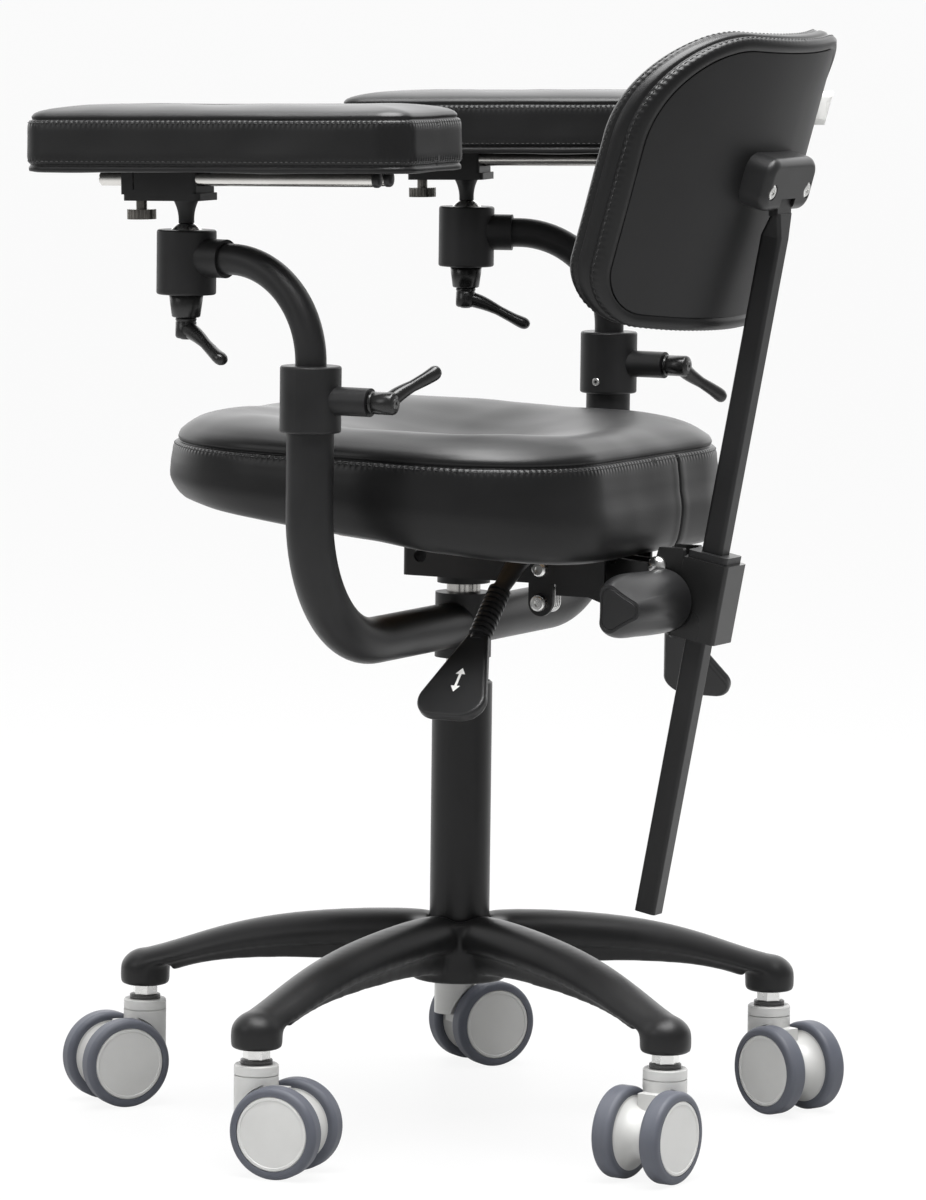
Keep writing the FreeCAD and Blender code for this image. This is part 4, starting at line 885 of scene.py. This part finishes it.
domeBolt = {"place": (18.0, 187.0, 480.5),
            "profile": [(8.2, 0.0), (8.2, 1.6), (7.6, 2.8), (6.2, 4.4), (4.0, 5.6), (1.5, 6.1), (0.1, 6.2)]}
verts, faces = turnedPiece(inMetres(domeBolt["profile"]), Vector(domeBolt["place"]) * mm, acrossWay)
addPiece("hingeDomeBolt", verts, faces, mats["zinc"], "back_carrier")

# rod end plugs, caster seals, knob cap and paddle arrow

rodPlug = {"profile": [(6.3, -2.4), (6.55, -2.0), (6.55, 0.8), (6.0, 2.0), (4.2, 2.7), (0.1, 2.9)],
           "sides": 24}


def makeRodPlugs(side):
    turn, ball = padFrame(side)
    back = Vector(joints[side + "_pad_slide"]["axis"]).normalized()
    local = turn.inverted()
    ends = headCentres(side + "_pad_rods", back, lambda p: (local @ (p - ball)).x > 0)
    profile = inMetres(rodPlug["profile"])
    verts, faces = joined([turnedPiece(profile, end, back, rodPlug["sides"]) for end in ends])
    addPiece(side + "RodPlugs", verts, faces, mats["blackPlastic"], side + "_pad")


for side in armSides:
    makeRodPlugs(side)

casterSeal = {"profile": [(12.0, 0.0), (12.9, 0.2), (13.0, 1.4), (12.5, 1.8), (13.0, 2.2), (12.9, 3.4),
                          (12.2, 3.8), (10.0, 3.8)], "height": 88.05, "sides": 40, "count": 5}
for number in range(1, casterSeal["count"] + 1):
    spot = Vector(joints["caster_%d_swivel" % number]["pos_m"])
    spot.z = casterSeal["height"] * mm
    verts, faces = turnedPiece(inMetres(casterSeal["profile"]), spot, (0, 0, 1), casterSeal["sides"])
    addPiece("caster%dSeal" % number, verts, faces, mats["guideNylon"], "caster_%d" % number)


# steps are share of the knob's outline and rise over its end
knobCap = {"endSlack": 0.05, "apart": 0.2, "steps": [(0.90, -0.2), (0.90, 0.25), (0.86, 0.55), (0.84, 0.2),
                                                     (0.83, 0.2), (0.80, 0.7), (0.5, 1.1), (0.1, 1.2)]}


def makeKnobCap():
    # three-cornered plate let into the knob's end, with a fine step round it
    middle = Vector(joints["height_knob_turn"]["pos_m"])
    points = [v.co.copy() for v in nodes["height_knob"].data.vertices]
    end = max(p.x for p in points)
    rim = [p for p in points if p.x > end - knobCap["endSlack"] * mm]
    rim.sort(key=lambda p: math.atan2(p.z - middle.z, p.y - middle.y))
    kept = [rim[0]]
    for p in rim[1:]:
        if (p - kept[-1]).length > knobCap["apart"] * mm:
            kept.append(p)
    verts = []
    for share, rise in knobCap["steps"]:
        for p in kept:
            y, z = middle.y + (p.y - middle.y) * share, middle.z + (p.z - middle.z) * share
            verts.append(Vector((end + rise * mm, y, z)))
    faces = ringFaces(len(knobCap["steps"]), len(kept))
    addPiece("knobCap", verts, faces, mats["panelVinyl"], "height_knob", smooth=False)


makeKnobCap()

paddleArrow = {"root": (128.0, 81.0, 426.0), "turn": 46.0, "over": 4.52, "rise": 0.12, "middle": 48.0,
               "half": 12.0, "head": 6.0, "headHalf": 4.2, "shaft": 1.1}


def makePaddleArrow():
    # plain two-headed arrow for up and down
    a = math.radians(paddleArrow["turn"])
    along, out = Vector((math.cos(a), 0, -math.sin(a))), Vector((math.sin(a), 0, math.cos(a)))
    across = Vector((0, 1, 0))
    h, n, w, s = (paddleArrow[k] for k in ("half", "head", "headHalf", "shaft"))
    outline = [(-h, 0), (n - h, w), (n - h, s), (h - n, s), (h - n, w),
               (h, 0), (h - n, -w), (h - n, -s), (n - h, -s), (n - h, -w)]
    verts, count = [], len(outline)
    for rise in (0.0, paddleArrow["rise"]):
        for x, y in outline:
            spot = along * (paddleArrow["middle"] + x) + across * y + out * (paddleArrow["over"] + rise)
            verts.append((Vector(paddleArrow["root"]) + spot) * mm)
    faces = [tuple(range(count, 2 * count)), tuple(reversed(range(count)))]
    faces += [(k, (k + 1) % count, count + (k + 1) % count, count + k) for k in range(count)]
    addPiece("paddleArrow", verts, faces, mats["tagCloth"], "lift_lever", smooth=False)


makePaddleArrow()

print("trims done")

# light, floor and camera

cameraView = {"place": (4.75816, 2.45918, 1.00435), "right": (-0.46032575, 0.8876629, 0.0124409),
              "up": (-0.08735554, -0.05923804, 0.99441433), "lens": 194.31, "sensor": 36.0, "far": 1000.0}


def makeCamera():
    data = bpy.data.cameras.new("photoCamera")
    data.sensor_fit = "VERTICAL"
    data.sensor_height = cameraView["sensor"]
    data.lens = cameraView["lens"]
    data.clip_end = cameraView["far"]
    right, up = Vector(cameraView["right"]), Vector(cameraView["up"])
    turn = Matrix((right, up, right.cross(up))).transposed().to_4x4()
    camera = bpy.data.objects.new("photoCamera", data)
    camera.matrix_world = Matrix.Translation(cameraView["place"]) @ turn
    bpy.context.scene.collection.objects.link(camera)
    bpy.context.scene.camera = camera


lampSettings = [
    {"name": "overhead", "place": (0.3, 0.3, 3.2), "aim": (0, 0, 0.6), "size": 2.8, "power": 340.0},
    {"name": "nearSide", "place": (2.6, -1.8, 1.9), "aim": (0, 0, 0.5), "size": 1.6, "power": 20.0},
]


def makeLamps():
    for lamp in lampSettings:
        data = bpy.data.lights.new(lamp["name"], "AREA")
        data.shape = "DISK"
        data.size = lamp["size"]
        data.energy = lamp["power"]
        obj = bpy.data.objects.new(lamp["name"], data)
        obj.location = lamp["place"]
        aim = Vector(lamp["aim"]) - Vector(lamp["place"])
        obj.rotation_euler = aim.to_track_quat("-Z", "Y").to_euler()
        bpy.context.scene.collection.objects.link(obj)


# white backdrop behind the chair, a dimmer room on the other side
studio = {"ambient": 0.32, "room": 0.2, "backdrop": 2.3, "backdropWay": (-0.85, -0.45, 0.27),
          "backdropEdge": (0.25, 0.8), "floorHalf": 400.0, "floorRough": 0.5, "floor": (0.55, 0.55, 0.55),
          "floorWhite": 0.9, "floorInGloss": 0.3}


def makeWorld():
    world = bpy.data.worlds.new("studio")
    world.use_nodes = True
    tree = world.node_tree
    back = tree.nodes["Background"]
    back.inputs["Color"].default_value = (1, 1, 1, 1)
    path = tree.nodes.new("ShaderNodeLightPath")
    aim = tree.nodes.new("ShaderNodeVectorMath")
    aim.operation = "DOT_PRODUCT"
    tree.links.new(tree.nodes.new("ShaderNodeTexCoord").outputs["Generated"], aim.inputs[0])
    aim.inputs[1].default_value = studio["backdropWay"]
    paper = rangeNode(tree, aim.outputs["Value"], *studio["backdropEdge"], studio["room"], studio["backdrop"])
    seen = mathNode(tree, "MAXIMUM", path.outputs["Is Camera Ray"],
                    mathNode(tree, "MULTIPLY", path.outputs["Is Glossy Ray"], paper))
    tree.links.new(mathNode(tree, "MAXIMUM", seen, studio["ambient"]), back.inputs["Strength"])
    bpy.context.scene.world = world


def makeFloor():
    half = studio["floorHalf"]
    corners = [(-half, -half, 0), (half, -half, 0), (half, half, 0), (-half, half, 0)]
    mesh = bpy.data.meshes.new("studioFloor")
    mesh.from_pydata(corners, [], [(0, 1, 2, 3)])
    mat = bpy.data.materials.new("paleFloor")
    mat.use_nodes = True
    tree = mat.node_tree
    shader = tree.nodes["Principled BSDF"]
    shader.inputs["Base Color"].default_value = (*studio["floor"], 1)
    shader.inputs["Roughness"].default_value = studio["floorRough"]
    glow = tree.nodes.new("ShaderNodeEmission")
    path = tree.nodes.new("ShaderNodeLightPath")
    mix = tree.nodes.new("ShaderNodeMixShader")
    direct = mathNode(tree, "MULTIPLY", path.outputs["Is Camera Ray"], studio["floorWhite"])
    mirrored = mathNode(tree, "MULTIPLY", path.outputs["Is Glossy Ray"], studio["floorInGloss"])
    tree.links.new(mathNode(tree, "MAXIMUM", direct, mirrored), mix.inputs[0])
    tree.links.new(shader.outputs[0], mix.inputs[1])
    tree.links.new(glow.outputs[0], mix.inputs[2])
    tree.links.new(mix.outputs[0], tree.nodes["Material Output"].inputs["Surface"])
    mesh.materials.append(mat)
    floor = bpy.data.objects.new("studioFloor", mesh)
    bpy.context.scene.collection.objects.link(floor)


makeCamera()
makeLamps()
makeWorld()
makeFloor()
bpy.context.scene.view_settings.view_transform = "Standard"
